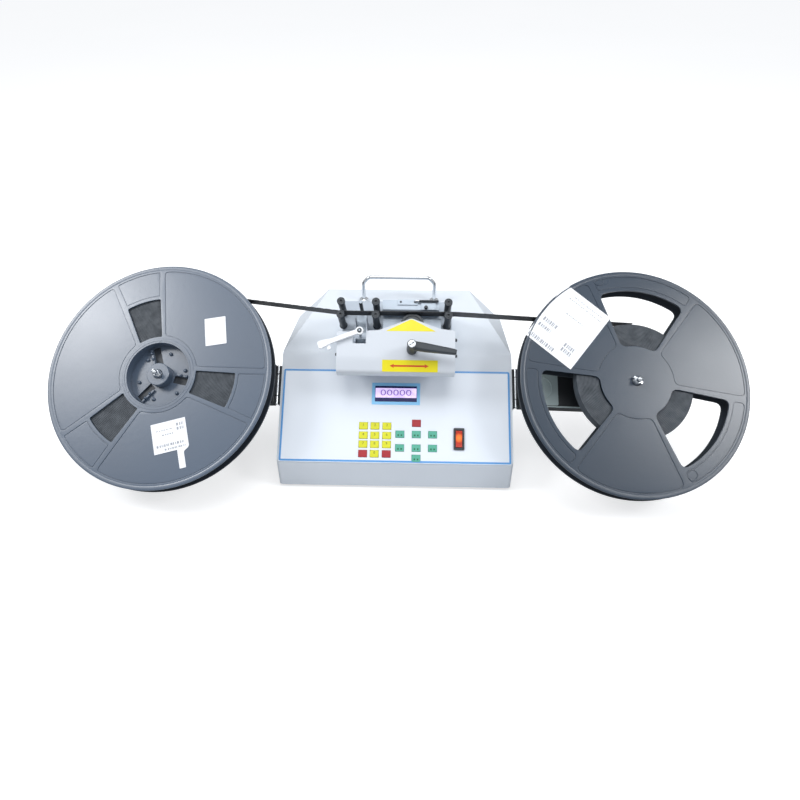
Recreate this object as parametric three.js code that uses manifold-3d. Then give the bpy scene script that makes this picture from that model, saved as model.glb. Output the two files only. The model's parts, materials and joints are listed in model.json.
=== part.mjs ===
// Surface mount component counter: a sloped steel case with a keypad and a display, a tape head
// with rollers and a sprocket drum, and two folding arms that each carry a reel of carrier tape.
// Millimetres and radians. X runs to the right, Y to the back and Z up.
// Most pieces stand on the slope of the case, in a group of its own: there X runs to the right,
// Y runs up the slope from the top edge of the front lip, and Z stands out of the slope.

import * as THREE from 'three';
import { mergeVertices } from 'three/addons/utils/BufferGeometryUtils.js';
import Module from 'manifold-3d';

const wasm = await Module();
wasm.setup();

// Clearances and cutting
const seatGap = 0.3;          // between pieces that rest on each other
const runGap = 0.35;          // round a shaft or a pin, on the radius
const overrun = 3;            // how far a cut runs past what it cuts
const weldDepth = 0.4;        // how far a joined shape is let into its neighbour
const mergeReach = 0.0001;    // points closer than this are one point

// The crowned edge of a screw head, nut, ferrule or post, as shares of its height and radius
const crownHeightShare = 0.6;
const crownRadiusShare = 0.75;

// Case
const caseWidth = 344;
const caseDepth = 280;
const caseHeight = 180;       // without the feet
const lipHeight = 45;
const slopeLength = 167;      // from the lip to the bend under the tape head
const slopeAngle = THREE.MathUtils.degToRad(39);
const caseSheet = 1.6;
const bendRadius = 4;
const cornerRadius = 6;       // upright corners of the case
const shoulderDrop = 55.5;    // how far the cut-off back corners reach down
const shoulderWidth = 57;     // how far they reach in along the back edge

// Base plate, feet and what stands on the plate
const baseFlange = 14;
const footHeight = 5;
const footRadius = 11;
const footTopRadius = 9.5;
const footInset = 26;
const supplyWidth = 96;
const supplyDepth = 62;
const supplyHeight = 34;
const supplyFin = 3;
const supplyFinHeight = 5;
const supplyFinCount = 6;
const supplyBack = 64;        // from the back of the case to the middle of the supply
const supplyShift = -64;
const supplyStandoff = 5;

// Control panel
const panelThickness = 1;
const panelInset = 3.4;       // from the sides of the case
const panelLow = 2.6;         // from the lip
const panelLength = 138;
const panelCorner = 3;

// Keys
const keyWidth = 12.4;
const keyLength = 10.3;
const keyCorner = 1.6;
const keyProud = 1;
const keyTravel = 0.6;
const keyFit = 0.35;          // round the cap
const keyRim = 0.7;           // the rim that holds a key under the panel
const keyRimThickness = 0.8;
const numberColumns = [-46.6, -29.7, -12.3];
const numberRows = [55.2, 41.1, 27.9, 14];
const functionColumns = [6.9, 30.9, 54.7];
const functionRows = [60, 43.4, 23.2, 8.2];
const keyWellMargin = 2.2;
const keyWellLow = 1.4;       // least distance of the opening from the lip

// Circuit board under the keys
const boardThickness = 1.6;
const boardMargin = 5;
const switchHeight = 4;
const switchSide = 6;
const boardPostRadius = 2.6;
const boardPostCut = 0.6;

// Display
const displayX = 0;
const displayS = 104;
const displayWidth = 62;
const displayLength = 24;
const displayModuleRim = 5;
const displayModuleDepth = 9;
const displayRecess = 0.4;    // below the face of the panel

// Power rocker
const rockerX = 93;
const rockerS = 37.4;
const rockerFrameWidth = 15.7;
const rockerFrameLength = 32.3;
const rockerFrameProud = 1.8;
const rockerFrameCorner = 1.2;
const rockerBodyWidth = 13;
const rockerBodyLength = 28.4;
const rockerBodyDepth = 17;
const rockerWall = 1.4;
const rockerFloor = 2;
const rockerFit = 0.4;
const rockerPivotDrop = 2.5;  // pivot below the face of the frame
const rockerProud = 1.6;      // ridge above the pivot plane of the frame
const rockerTilt = THREE.MathUtils.degToRad(8);
const rockerBelly = 5;

// Handle
const handleSpan = 114;
const handleRise = 40;
const handleRod = 3;          // radius
const handleChamferX = 9;
const handleChamferZ = 10;
const handleBend = 3.5;
const handleBackShare = 0.43143; // of the free top behind the tape head, from the case's back edge
const handleFerrule = 7;
const handleFerruleHeight = 3;

// Power inlet
const inletFromSide = 67;
const inletZ = 45;
const inletFlangeWidth = 36;
const inletFlangeHeight = 30;
const inletFlangeThickness = 2;
const inletBodyWidth = 29;
const inletBodyHeight = 22;
const inletBodyDepth = 22;
const inletCavityWidth = 25;
const inletCavityHeight = 17;
const inletCavityDepth = 16;
const inletCavityCut = 4.5;
const inletPinWidth = 2;
const inletPinHeight = 4;
const inletPinLength = 12;
const inletPinSpread = 7;
const inletPinRise = 2;
const inletCorner = 2.5;

// Head base, on the slope and the bend
const baseHalfWidth = 80.4;
const baseSheet = 2;
const baseLow = 142;
const baseHigh = 240;
const baseFloor = 27.5;       // height of its floor above the slope
const earLow = 145;
const earHigh = 176;
const earHeight = 50;
const baseEdgeRadius = 2;

// Head cover
const coverHalfWidth = 83.4;
const coverSheet = 2;
const coverTop = 65;
const coverFold = 139;
const coverFront = 119;
const coverFrontTop = 60;
const coverFrontBottom = 45;
const coverBack = 178;
const coverBackRight = 184;
const coverSideBottom = 31;
const tongueX = 21.6;
const tonguePeak = 199;
const tongueLeft = -24;
const tongueRight = 62;
const tonguePeakRadius = 3;
const coverCorner = 3;
const coverBend = 3;          // inner radius of its two folds
const coverFootSetback = 9;   // where its cheeks end above the slope
const notchLeft = -61.4;
const notchRight = -42.4;
const notchLow = 160.5;
const notchCorner = 1.5;
const sideScrewRadius = 2.6;
const sideScrewHead = 1.6;
const sideScrewLow = 152;
const sideScrewHigh = 168;
const sideScrewHeight = 42;

// Rollers
const rollerColumns = [-79, -29.4, 73.4];
const rollerRows = [200.5, 220];
const rollerTop = 75.5;
const rollerRadius = 4.9;
const rollerCapRadius = 5.8;
const rollerCapHeight = 3.4;
const rollerFootHeight = 2;
const rollerAxleRadius = 2.2;
const rollerAxleShort = 6;    // the axle ends this far below the top of its roller
const rollerSocketRadius = 1.6;
const rollerSocketDepth = 2.4;

// Counting drum and its encoder
const drumX = 22.8;
const drumS = 190.9;
const drumRadius = 16;
const drumRimRadius = 16.7;
const drumBottom = 41;
const drumTop = 62;
const drumRimHeight = 1.6;
const drumFaceDepth = 1.2;
const drumFaceRadius = 13;
const drumHubRadius = 5;
const drumToothCount = 27;
const drumToothWidth = 1.4;
const drumToothHeight = 1.5;
const drumToothLevel = 53.2;
const drumShaftRadius = 3;
const drumShaftDepth = 24;    // below the floor of the head base
const encoderRadius = 18;
const encoderHeight = 28;
const encoderCollarRadius = 8;
const encoderCollarHeight = 4;

// Guide rails
const lowerRailLeft = -20;
const lowerRailRight = 64;
const lowerRailLow = 181;
const lowerRailHigh = 205;
const lowerRailTop = 51;
const railEdge = 1.6;
const drumPocketGap = 1.2;
const upperRailLeft = -21;
const upperRailRight = 61;
const upperRailLow = 215.6;
const upperRailHigh = 232;
const upperRailTop = 52;
const stepPlateLeft = 1;
const stepPlateRight = 30;
const stepPlateRise = 1.6;
const stepPlateLow = 224;

// Press bracket over the drum
const pressLeft = 35;
const pressRight = 56;
const pressLow = 216.5;
const pressHigh = 230;
const pressSheet = 1.6;
const pressBarRadius = 1.7;
const pressBarLeft = 26;
const pressBarRight = 60;
const pressKnobRadius = 2.6;
const pressKnobHeight = 6.6;
const pressKnobX = 42;
const pressKnobS = 219.6;

// Lever bracket, guide slide and release lever
const channelX = -51.6;
const channelWidth = 14.4;
const channelWall = 1.8;
const channelLow = 152;
const channelHigh = 205;
const channelTop = 47;
const slideHeight = 6;
const slideLow = 158;
const postS = 220.6;
const postRadius = 2.5;
const postTop = 70;
const leverPivotS = 178;
const leverPinRadius = 2;
const leverPinTop = 72;
const leverReach = 62;
const leverAngle = THREE.MathUtils.degToRad(202);
const leverBottom = 65.6;
const leverThickness = 5;
const leverHubRadius = 5.6;
const leverArmWidth = 6.4;
const leverTipWidth = 11;
const leverTipLength = 19;
const leverHookWidth = 5;
const leverHookDepth = 4.5;
const leverHookThickness = 3;
const leverHookSetback = 13.3; // from the tip to the middle of the hook
const leverBridge = 9;

// Clamp lever and its shoe
const clampX = 22.6;
const clampS = 151.6;
const clampHubRadius = 7.4;
const clampHubTopRadius = 6.6;
const clampHeight = 27;
const clampCapRadius = 5.2;
const clampCapHeight = 1.4;
const clampSlotWidth = 1.2;
const clampSlotDepth = 0.7;
const clampAngle = THREE.MathUtils.degToRad(-9);
const clampReach = 62;
const clampArmWidth = 12;
const clampTipWidth = 8;
const clampArmDepth = 10;
const clampTipDepth = 6.5;
const clampArmTopDrop = 1.2;
const clampSkirtShare = 0.3;  // of the hub's height, where its foot begins to draw in
const clampWaistShare = 0.4;  // and where it has drawn in
const clampSlotShare = 0.8;   // of the cap's radius, how far the slot reaches
// Half of the arm's section from its underside to its top, as shares of its width and depth
const clampSectionShares = [[0.3, -1], [0.5, -0.8], [0.5, -0.25], [0.3, 0]];
// The arm from the hub to its tip: shares of the reach, the way from root to tip width, and the drop
const clampArmShares = [[0, 0, 0], [0.3, 0, 0], [0.94, 1, 0], [1, 1.4, 0.05]];
const clampScrewRadius = 3;
const clampScrewDepth = 18;
const shoeRadius = 9;
const shoeThickness = 5;
const shoeBossRadius = 6;
const shoeBossHeight = 6;

// Arms, hinge leaves and spindles
const hingeHeight = -4;
const armCentre = 116.4;
const armWidth = 60;
const armSweep = THREE.MathUtils.degToRad(5.2);
const leafThickness = 3;
const leafDrop = 30;
const leafTop = 2;
const leafCorner = 3;
const hingePinRadius = 1.1;
const knuckleRadius = 2.2;
const knuckleLength = 34;
const armSheet = 2.5;
const armFace = 11.5;
const armDepth = 20;
const armStopThickness = 3;
const spindleReach = 156.5;
const reelPlane = 54.8;       // middle of the reel in front of the hinge
const spindleBossRadius = 11;
const spindleBossTopRadius = 9.4;
const spindleSeatRadius = 19;
const spindleSeatThickness = 3;
const spindleRadius = 6.1;
const spindleNutRadius = 8;
const spindleNutHeight = 5;
const spindleTipRadius = 3.6;
const spindleTipHeight = 7;

// Reels
const reelRadius = 166;
const reelWidth = 22;
const flangeThickness = 2;
const rimWidth = 3;
const rimProud = 0.5;
const reelHubRadius = 50;
const reelHubWall = 2.2;
const reelBore = 6.5;
const reelBossRadius = 15.5;
const reelWebThickness = 2.5;
const openHubRadius = 46.5;
const openHubRecess = 7;
const keySlotWidth = 8;
const keySlotStart = 22;
const keySlotLength = 20;
const keySlotCount = 3;
const leftWindowInner = 56;
const leftWindowOuter = 114.5;
const leftWindowHalfAngle = THREE.MathUtils.degToRad(14);
const leftWindowTurn = THREE.MathUtils.degToRad(107.1);
const rightWindowInner = 52;
const rightWindowOuter = 136;
const rightWindowHalfAngle = THREE.MathUtils.degToRad(28);
const rightWindowTurn = THREE.MathUtils.degToRad(82.7);
const leftWindowCorner = 2.5;
const rightWindowCorner = 9;
const windowCount = 3;
const windowSteps = 3;

// Carrier tape
const tapeWidth = 16;
const tapeThickness = 1;
const pocketPitch = 12;
const pocketLength = 8;
const pocketHeight = 1.4;
const pocketTaper = 0.6;
const tapeLevel = 59;         // middle of the tape above the slope, between the rollers
const tapeLift = 0.3;         // over the drum
const tapeBow = 1.2;          // the tape rises this much towards the middle rollers
const windingLeftRadius = 128;
const windingRightRadius = 86;
const windingPitch = 4.2;
const windingGap = 0.55;
const windingStart = 1.8;     // clear of the hub
const stepsPerLoop = 24;

// Places that follow from the sizes above
const lipTop = footHeight + lipHeight;
const bendY = slopeLength * Math.cos(slopeAngle);
const bendZ = lipTop + slopeLength * Math.sin(slopeAngle);
const caseTop = footHeight + caseHeight;
const topAngle = Math.atan2(caseTop - bendZ, caseDepth - bendY);
const panelFace = seatGap + panelThickness;
const inletX = caseWidth / 2 - inletFromSide;
// Height of the top of the case at a place up the slope, past the bend, and the bend of that line
const topFall = Math.tan(slopeAngle - topAngle);
const pastBend = (s, gap) => gap / Math.cos(slopeAngle - topAngle) - (s - slopeLength) * topFall;
const bendAt = (gap) => slopeLength + gap * Math.tan((slopeAngle - topAngle) / 2);
const baseBackY = baseHigh * Math.cos(slopeAngle) - pastBend(baseHigh, seatGap) * Math.sin(slopeAngle);
const handleBack = (caseDepth - baseBackY) * handleBackShare;
const tapeS = drumS + drumRimRadius + tapeLift;
const hingeX = caseWidth / 2 + leafThickness + knuckleRadius + 2 * seatGap;
const armStart = knuckleRadius + 2 * seatGap;

// Materials
const finish = (colour, roughness, metalness) => new THREE.MeshStandardMaterial({
  color: colour,
  roughness,
  metalness,
});
const paleCoat = finish(0xdfe3ea, 0.5, 0.1);
const whiteCoat = finish(0xf0f1f4, 0.5, 0.1);
const greySheet = finish(0xb9c2cb, 0.45, 0.4);
const panelFilm = finish(0xe4ecf6, 0.35, 0);
const yellowKey = finish(0xf2e21c, 0.5, 0);
const redKey = finish(0xc92b3a, 0.5, 0);
const greenKey = finish(0x26a877, 0.5, 0);
const displayGlass = finish(0xcdb8f0, 0.2, 0);
const blackPlastic = finish(0x1c1e21, 0.5, 0);
const litRed = finish(0xe83a1e, 0.35, 0);
const chromeSteel = finish(0xc8ccd0, 0.15, 1);
const blackCoat = finish(0x15171a, 0.5, 0.2);
const whitePlastic = finish(0xf4f5f5, 0.45, 0);
const reelPlastic = finish(0x4b545f, 0.35, 0);
const darkReelPlastic = finish(0x3c434c, 0.35, 0);
const tapePlastic = finish(0x17191b, 0.55, 0);
const boardGreen = finish(0x2c6b45, 0.6, 0);
const brightSteel = finish(0xa9aeb3, 0.3, 0.9);

// Shapes and solids

function toSolid(geometry) {
  const bare = geometry.clone();
  bare.deleteAttribute('normal');
  bare.deleteAttribute('uv');
  const merged = mergeVertices(bare, mergeReach);
  return new wasm.Manifold(new wasm.Mesh({
    numProp: 3,
    vertProperties: new Float32Array(merged.attributes.position.array),
    triVerts: new Uint32Array(merged.index.array),
  }));
}

function toGeometry(solid) {
  const mesh = solid.getMesh();
  const geometry = new THREE.BufferGeometry();
  geometry.setAttribute('position', new THREE.BufferAttribute(mesh.vertProperties, mesh.numProp));
  geometry.setIndex(new THREE.BufferAttribute(mesh.triVerts, 1));
  const shaded = geometry.toNonIndexed();
  shaded.computeVertexNormals();
  return shaded;
}

const join = (...geometries) => geometries.map(toSolid).reduce((a, b) => a.add(b));
const cut = (body, ...tools) => tools.map(toSolid).reduce((a, b) => a.subtract(b), body);

function outlineOf(points, radius = 0, steps = 3) {
  const shape = new THREE.Shape();
  const count = points.length;
  points.forEach((point, index) => {
    const before = points[(index + count - 1) % count];
    const after = points[(index + 1) % count];
    const corner = new THREE.Vector2(...point);
    const back = new THREE.Vector2(...before).sub(corner);
    const ahead = new THREE.Vector2(...after).sub(corner);
    const reach = Math.min(point[2] ?? radius, back.length() / 2, ahead.length() / 2);
    const enter = corner.clone().addScaledVector(back.normalize(), reach);
    const leave = corner.clone().addScaledVector(ahead.normalize(), reach);
    for (let step = 0; step <= (reach > 0 ? steps : 0); step += 1) {
      const t = step / steps;
      const x = (1 - t) ** 2 * enter.x + 2 * t * (1 - t) * corner.x + t ** 2 * leave.x;
      const y = (1 - t) ** 2 * enter.y + 2 * t * (1 - t) * corner.y + t ** 2 * leave.y;
      if (index === 0 && step === 0) shape.moveTo(x, y);
      else shape.lineTo(x, y);
    }
  });
  shape.closePath();
  return shape;
}

const rectangle = (width, length) => [
  [-width / 2, -length / 2],
  [width / 2, -length / 2],
  [width / 2, length / 2],
  [-width / 2, length / 2],
];

// A flat piece of the given outline, standing from bottom to top along Z
function slab(shape, bottom, top, curveSegments = 6) {
  const geometry = new THREE.ExtrudeGeometry(shape, {
    depth: top - bottom,
    bevelEnabled: false,
    curveSegments,
  });
  return geometry.translate(0, 0, bottom);
}

// A piece of the given outline in Y and Z, reaching from left to right along X
function across(shape, left, right) {
  const geometry = slab(shape, left, right);
  return geometry.applyMatrix4(new THREE.Matrix4().makeBasis(
    new THREE.Vector3(0, 1, 0),
    new THREE.Vector3(0, 0, 1),
    new THREE.Vector3(1, 0, 0),
  ));
}

function block(left, right, low, high, bottom, top) {
  const geometry = new THREE.BoxGeometry(right - left, high - low, top - bottom);
  return geometry.translate((left + right) / 2, (low + high) / 2, (bottom + top) / 2);
}

// A turned piece about Z: profile is a list of radius and height, closed on the axis or on itself
function turned(profile, segments = 24) {
  const points = profile.map(([radius, height]) => new THREE.Vector2(radius, height));
  const geometry = new THREE.LatheGeometry(points, segments);
  return geometry.rotateX(Math.PI / 2);
}

const rod = (radius, bottom, top, segments = 16) => turned([
  [0, bottom],
  [radius, bottom],
  [radius, top],
  [0, top],
], segments);

const tubeRing = (inner, outer, bottom, top, segments) => turned([
  [inner, bottom],
  [outer, bottom],
  [outer, top],
  [inner, top],
  [inner, bottom],
], segments);

// A tube whose cross-sections are lists of points in space, all of one length
function loft(sections) {
  const sides = sections[0].length;
  const positions = sections.flat().flatMap((point) => [point.x, point.y, point.z]);
  const index = [];
  for (let ring = 0; ring + 1 < sections.length; ring += 1) {
    for (let side = 0; side < sides; side += 1) {
      const here = ring * sides + side;
      const next = ring * sides + (side + 1) % sides;
      index.push(here, next, here + sides, next, next + sides, here + sides);
    }
  }
  const last = (sections.length - 1) * sides;
  for (let side = 1; side + 1 < sides; side += 1) {
    index.push(0, side + 1, side);
    index.push(last, last + side, last + side + 1);
  }
  const geometry = new THREE.BufferGeometry();
  geometry.setAttribute('position', new THREE.Float32BufferAttribute(positions, 3));
  geometry.setIndex(index);
  return geometry;
}

// A node of the model
function piece(name, solid, material, parent) {
  const geometry = solid.isBufferGeometry ? toGeometry(toSolid(solid)) : toGeometry(solid);
  const mesh = new THREE.Mesh(geometry, material);
  mesh.name = name;
  parent.add(mesh);
  return mesh;
}

const counter = new THREE.Group();
const machine = new THREE.Group();
counter.add(machine);
const slope = new THREE.Group();
slope.position.set(0, 0, lipTop);
slope.rotation.x = slopeAngle;
machine.add(slope);

// Case

// The body of the case, with all its walls moved in by inset, down to the height floor
function caseBody(inset, floor) {
  const back = caseDepth - inset;
  const slopeAt = (y) => lipTop + y * Math.tan(slopeAngle) - inset / Math.cos(slopeAngle);
  const topStart = bendZ - inset / Math.cos(topAngle) - bendY * Math.tan(topAngle);
  const bend = (topStart - slopeAt(0)) / (Math.tan(slopeAngle) - Math.tan(topAngle));
  const radius = bendRadius - inset;
  const profile = outlineOf([
    [inset, floor],
    [inset, slopeAt(inset), radius],
    [bend, slopeAt(bend), radius],
    [back, topStart + back * Math.tan(topAngle), radius],
    [back, floor],
  ]);
  const half = caseWidth / 2 - inset;
  const plan = outlineOf([
    [-half, inset],
    [half, inset],
    [half, back],
    [-half, back],
  ], cornerRadius - inset, 4);
  const upright = slab(plan, floor - overrun, caseTop + overrun);
  let body = toSolid(across(profile, -half - overrun, half + overrun)).intersect(toSolid(upright));
  [-1, 1].forEach((side) => {
    const front = new THREE.Vector3(side * caseWidth / 2, bendY, bendZ);
    const low = new THREE.Vector3(side * caseWidth / 2, caseDepth, caseTop - shoulderDrop);
    const high = new THREE.Vector3(side * (caseWidth / 2 - shoulderWidth), caseDepth, caseTop);
    const normal = low.clone().sub(front).cross(high.sub(front)).normalize();
    if (normal.z > 0) normal.negate();
    body = body.trimByPlane([normal.x, normal.y, normal.z], normal.dot(front) + inset);
  });
  return body;
}

const onSlope = (geometry) => geometry.rotateX(slopeAngle).translate(0, 0, lipTop);

const keyPlaces = [];
numberRows.forEach((s, row) => numberColumns.forEach((x, column) => {
  const red = row === numberRows.length - 1 && column !== 1;
  keyPlaces.push({ name: `number_key_${row + 1}_${column + 1}`, x, s, material: red ? redKey : yellowKey });
}));
functionRows.forEach((s, row) => functionColumns.forEach((x, column) => {
  const ends = row === 0 || row === functionRows.length - 1;
  if (ends && column !== 1) return;
  const name = `function_key_${row + 1}_${column + 1}`;
  keyPlaces.push({ name, x, s, material: row === 0 ? redKey : greenKey });
}));

// The opening in the case under one group of keys
function keyWell(columns, rows, bottom, top) {
  const reachX = keyWidth / 2 + keyRim + keyWellMargin;
  const reachS = keyLength / 2 + keyRim + keyWellMargin;
  const low = Math.max(Math.min(...rows) - reachS, keyWellLow);
  return block(
    Math.min(...columns) - reachX,
    Math.max(...columns) + reachX,
    low,
    Math.max(...rows) + reachS,
    bottom,
    top,
  );
}

const allColumns = [...numberColumns, ...functionColumns];
const allRows = [...numberRows, ...functionRows];
const throughSheet = [-caseSheet - overrun, overrun];

const displayHole = block(
  displayX - displayWidth / 2 - seatGap,
  displayX + displayWidth / 2 + seatGap,
  displayS - displayLength / 2 - seatGap,
  displayS + displayLength / 2 + seatGap,
  ...throughSheet,
);
const rockerHole = block(
  rockerX - rockerBodyWidth / 2 - seatGap,
  rockerX + rockerBodyWidth / 2 + seatGap,
  rockerS - rockerBodyLength / 2 - seatGap,
  rockerS + rockerBodyLength / 2 + seatGap,
  ...throughSheet,
);
const inletHole = block(
  inletX - inletBodyWidth / 2 - seatGap,
  inletX + inletBodyWidth / 2 + seatGap,
  caseDepth - caseSheet - overrun,
  caseDepth + overrun,
  inletZ - inletBodyHeight / 2 - seatGap,
  inletZ + inletBodyHeight / 2 + seatGap,
);

const caseCavity = caseBody(caseSheet, footHeight - overrun);
const caseShell = cut(
  caseBody(0, footHeight).subtract(caseCavity),
  onSlope(keyWell(allColumns, allRows, ...throughSheet)),
  onSlope(displayHole.clone()),
  onSlope(rockerHole.clone()),
  inletHole,
);
piece('case_shell', caseShell, paleCoat, machine);

// Base plate with its bent-up flanges and four feet
function basePlate() {
  const half = caseWidth / 2 - caseSheet - seatGap;
  const front = caseSheet + seatGap;
  const back = caseDepth - caseSheet - seatGap;
  const radius = cornerRadius - caseSheet - seatGap;
  const plan = (inset) => outlineOf([
    [-half + inset, front + inset],
    [half - inset, front + inset],
    [half - inset, back - inset],
    [-half + inset, back - inset],
  ], Math.max(radius - inset, caseSheet), 2);
  const tray = slab(plan(0), footHeight, footHeight + baseFlange);
  const hollow = slab(plan(caseSheet), footHeight + caseSheet, footHeight + baseFlange + overrun);
  const feet = [-1, 1].flatMap((side) => [footInset, caseDepth - footInset].map((y) => turned([
    [0, 0],
    [footTopRadius, 0],
    [footRadius, footHeight / 2],
    [footRadius, footHeight + weldDepth],
    [0, footHeight + weldDepth],
  ], 12).translate(side * (caseWidth / 2 - footInset), y, 0)));
  return feet.map(toSolid).reduce((a, b) => a.add(b), cut(toSolid(tray), hollow));
}
piece('base_plate', basePlate(), greySheet, machine);

// Power supply on the base plate, with a finned top
function powerSupply() {
  const y = caseDepth - supplyBack;
  const floor = footHeight + caseSheet + seatGap;
  const left = supplyShift - supplyWidth / 2;
  const right = supplyShift + supplyWidth / 2;
  const top = floor + supplyStandoff + supplyHeight;
  const body = block(left, right, y - supplyDepth / 2, y + supplyDepth / 2, floor + supplyStandoff, top);
  const feet = [left + boardPostRadius * 2, right - boardPostRadius * 2].map((x) => (
    rod(boardPostRadius, floor, floor + supplyStandoff + weldDepth, 10).translate(x, y, 0)
  ));
  const pitch = supplyWidth / supplyFinCount;
  const fins = Array.from({ length: supplyFinCount }, (_, fin) => {
    const x = left + (fin + 1 / 2) * pitch;
    return block(
      x - supplyFin / 2,
      x + supplyFin / 2,
      y - supplyDepth / 2,
      y + supplyDepth / 2,
      top - weldDepth,
      top + supplyFinHeight,
    );
  });
  return join(body, ...feet, ...fins);
}
piece('power_supply', powerSupply(), brightSteel, machine);

// Control panel, keys and the board behind them

function controlPanel() {
  const half = caseWidth / 2 - panelInset;
  const outline = outlineOf([
    [-half, panelLow],
    [half, panelLow],
    [half, panelLow + panelLength],
    [-half, panelLow + panelLength],
  ], panelCorner);
  const keyHoles = keyPlaces.map(({ x, s }) => slab(
    outlineOf(rectangle(keyWidth + 2 * keyFit, keyLength + 2 * keyFit)),
    -overrun,
    overrun,
  ).translate(x, s, 0));
  return cut(
    toSolid(slab(outline, seatGap, panelFace)),
    ...keyHoles,
    displayHole,
    rockerHole,
  );
}
piece('control_panel', controlPanel(), panelFilm, slope);

const keyRimTop = 0;
const keyRimBottom = keyRimTop - keyRimThickness;
const keyTop = panelFace + keyProud;

function keyCap() {
  const cap = slab(outlineOf(rectangle(keyWidth, keyLength), keyCorner, 1), keyRimBottom, keyTop);
  const rim = slab(
    outlineOf(rectangle(keyWidth + 2 * keyRim, keyLength + 2 * keyRim)),
    keyRimBottom,
    keyRimTop,
  );
  return join(cap, rim);
}
keyPlaces.forEach(({ name, x, s, material }) => {
  piece(name, keyCap(), material, slope).position.set(x, s, 0);
});

const boardTop = keyRimBottom - keyTravel - 2 * seatGap - switchHeight;

// The board hangs under the slope on four posts and carries a switch under each key
function mainBoard() {
  const left = Math.min(...allColumns) - keyWidth / 2 - boardMargin;
  const right = Math.max(...allColumns) + keyWidth / 2 + boardMargin;
  const low = Math.min(...allRows) + boardMargin;
  const high = Math.max(...allRows) + keyLength / 2 + boardMargin * 3;
  const plate = block(left, right, low - boardMargin, high, boardTop - boardThickness, boardTop);
  const switches = keyPlaces.map(({ x, s }) => block(
    x - switchSide / 2,
    x + switchSide / 2,
    s - switchSide / 2,
    s + switchSide / 2,
    boardTop - weldDepth,
    boardTop + switchHeight,
  ));
  const postTopLevel = -caseSheet - seatGap;
  const posts = [left, right].map((x) => rod(boardPostRadius, boardTop - weldDepth, postTopLevel, 10)
    .translate(x + (x < 0 ? boardPostRadius : -boardPostRadius), high - boardPostRadius - boardPostCut, 0));
  return join(plate, ...switches, ...posts);
}
piece('main_board', mainBoard(), boardGreen, slope);

// Display: the glass fills its hole in the panel and the module lies behind the sheet
function displayModule() {
  const glass = block(
    displayX - displayWidth / 2,
    displayX + displayWidth / 2,
    displayS - displayLength / 2,
    displayS + displayLength / 2,
    -caseSheet - displayModuleDepth / 2,
    panelFace - displayRecess,
  );
  const back = block(
    displayX - displayWidth / 2 - displayModuleRim,
    displayX + displayWidth / 2 + displayModuleRim,
    displayS - displayLength / 2 - displayModuleRim,
    displayS + displayLength / 2 + displayModuleRim,
    -caseSheet - seatGap - displayModuleDepth,
    -caseSheet - seatGap,
  );
  return join(glass, back);
}
piece('display_module', displayModule(), displayGlass, slope);

// Power rocker
const rockerFace = panelFace + seatGap + rockerFrameProud;
const rockerPivot = rockerFace - rockerPivotDrop;
const rockerHalfLength = rockerBodyLength / 2 - rockerWall - rockerFit;

function rockerFrame() {
  const flange = slab(
    outlineOf(rectangle(rockerFrameWidth, rockerFrameLength), rockerFrameCorner, 2),
    panelFace + seatGap,
    rockerFace,
  );
  const body = slab(
    outlineOf(rectangle(rockerBodyWidth, rockerBodyLength)),
    panelFace + seatGap - rockerBodyDepth,
    panelFace + seatGap + weldDepth,
  );
  const cavity = slab(
    outlineOf(rectangle(rockerBodyWidth - 2 * rockerWall, rockerBodyLength - 2 * rockerWall)),
    panelFace + seatGap - rockerBodyDepth + rockerFloor,
    rockerFace + overrun,
  );
  return cut(join(flange, body), cavity);
}
piece('rocker_frame', rockerFrame(), blackPlastic, slope).position.set(rockerX, rockerS, 0);

// The paddle: two flats meet at a dished middle, and round ends follow the pivot
function rockerPaddle() {
  const radius = rockerHalfLength;
  const rise = rockerPivotDrop + rockerProud;
  const points = [[-Math.sqrt(radius ** 2 - rise ** 2), rise], [0, rockerPivotDrop - rockerProud / 2]];
  const arc = Math.asin(rise / radius);
  const belly = Math.asin(rockerBelly / radius);
  for (let step = 0; step <= 4; step += 1) {
    const angle = arc - (arc + belly) * step / 4;
    points.push([radius * Math.cos(angle), radius * Math.sin(angle)]);
  }
  for (let step = 0; step <= 3; step += 1) {
    const angle = Math.PI + belly - (arc + belly) * step / 4;
    points.push([radius * Math.cos(angle), radius * Math.sin(angle)]);
  }
  const half = rockerBodyWidth / 2 - rockerWall - rockerFit;
  return across(outlineOf(points.reverse()), -half, half);
}
const rocker = piece('power_rocker', rockerPaddle(), litRed, slope);
rocker.position.set(rockerX, rockerS, rockerPivot);
rocker.rotation.x = rockerTilt;

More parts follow.
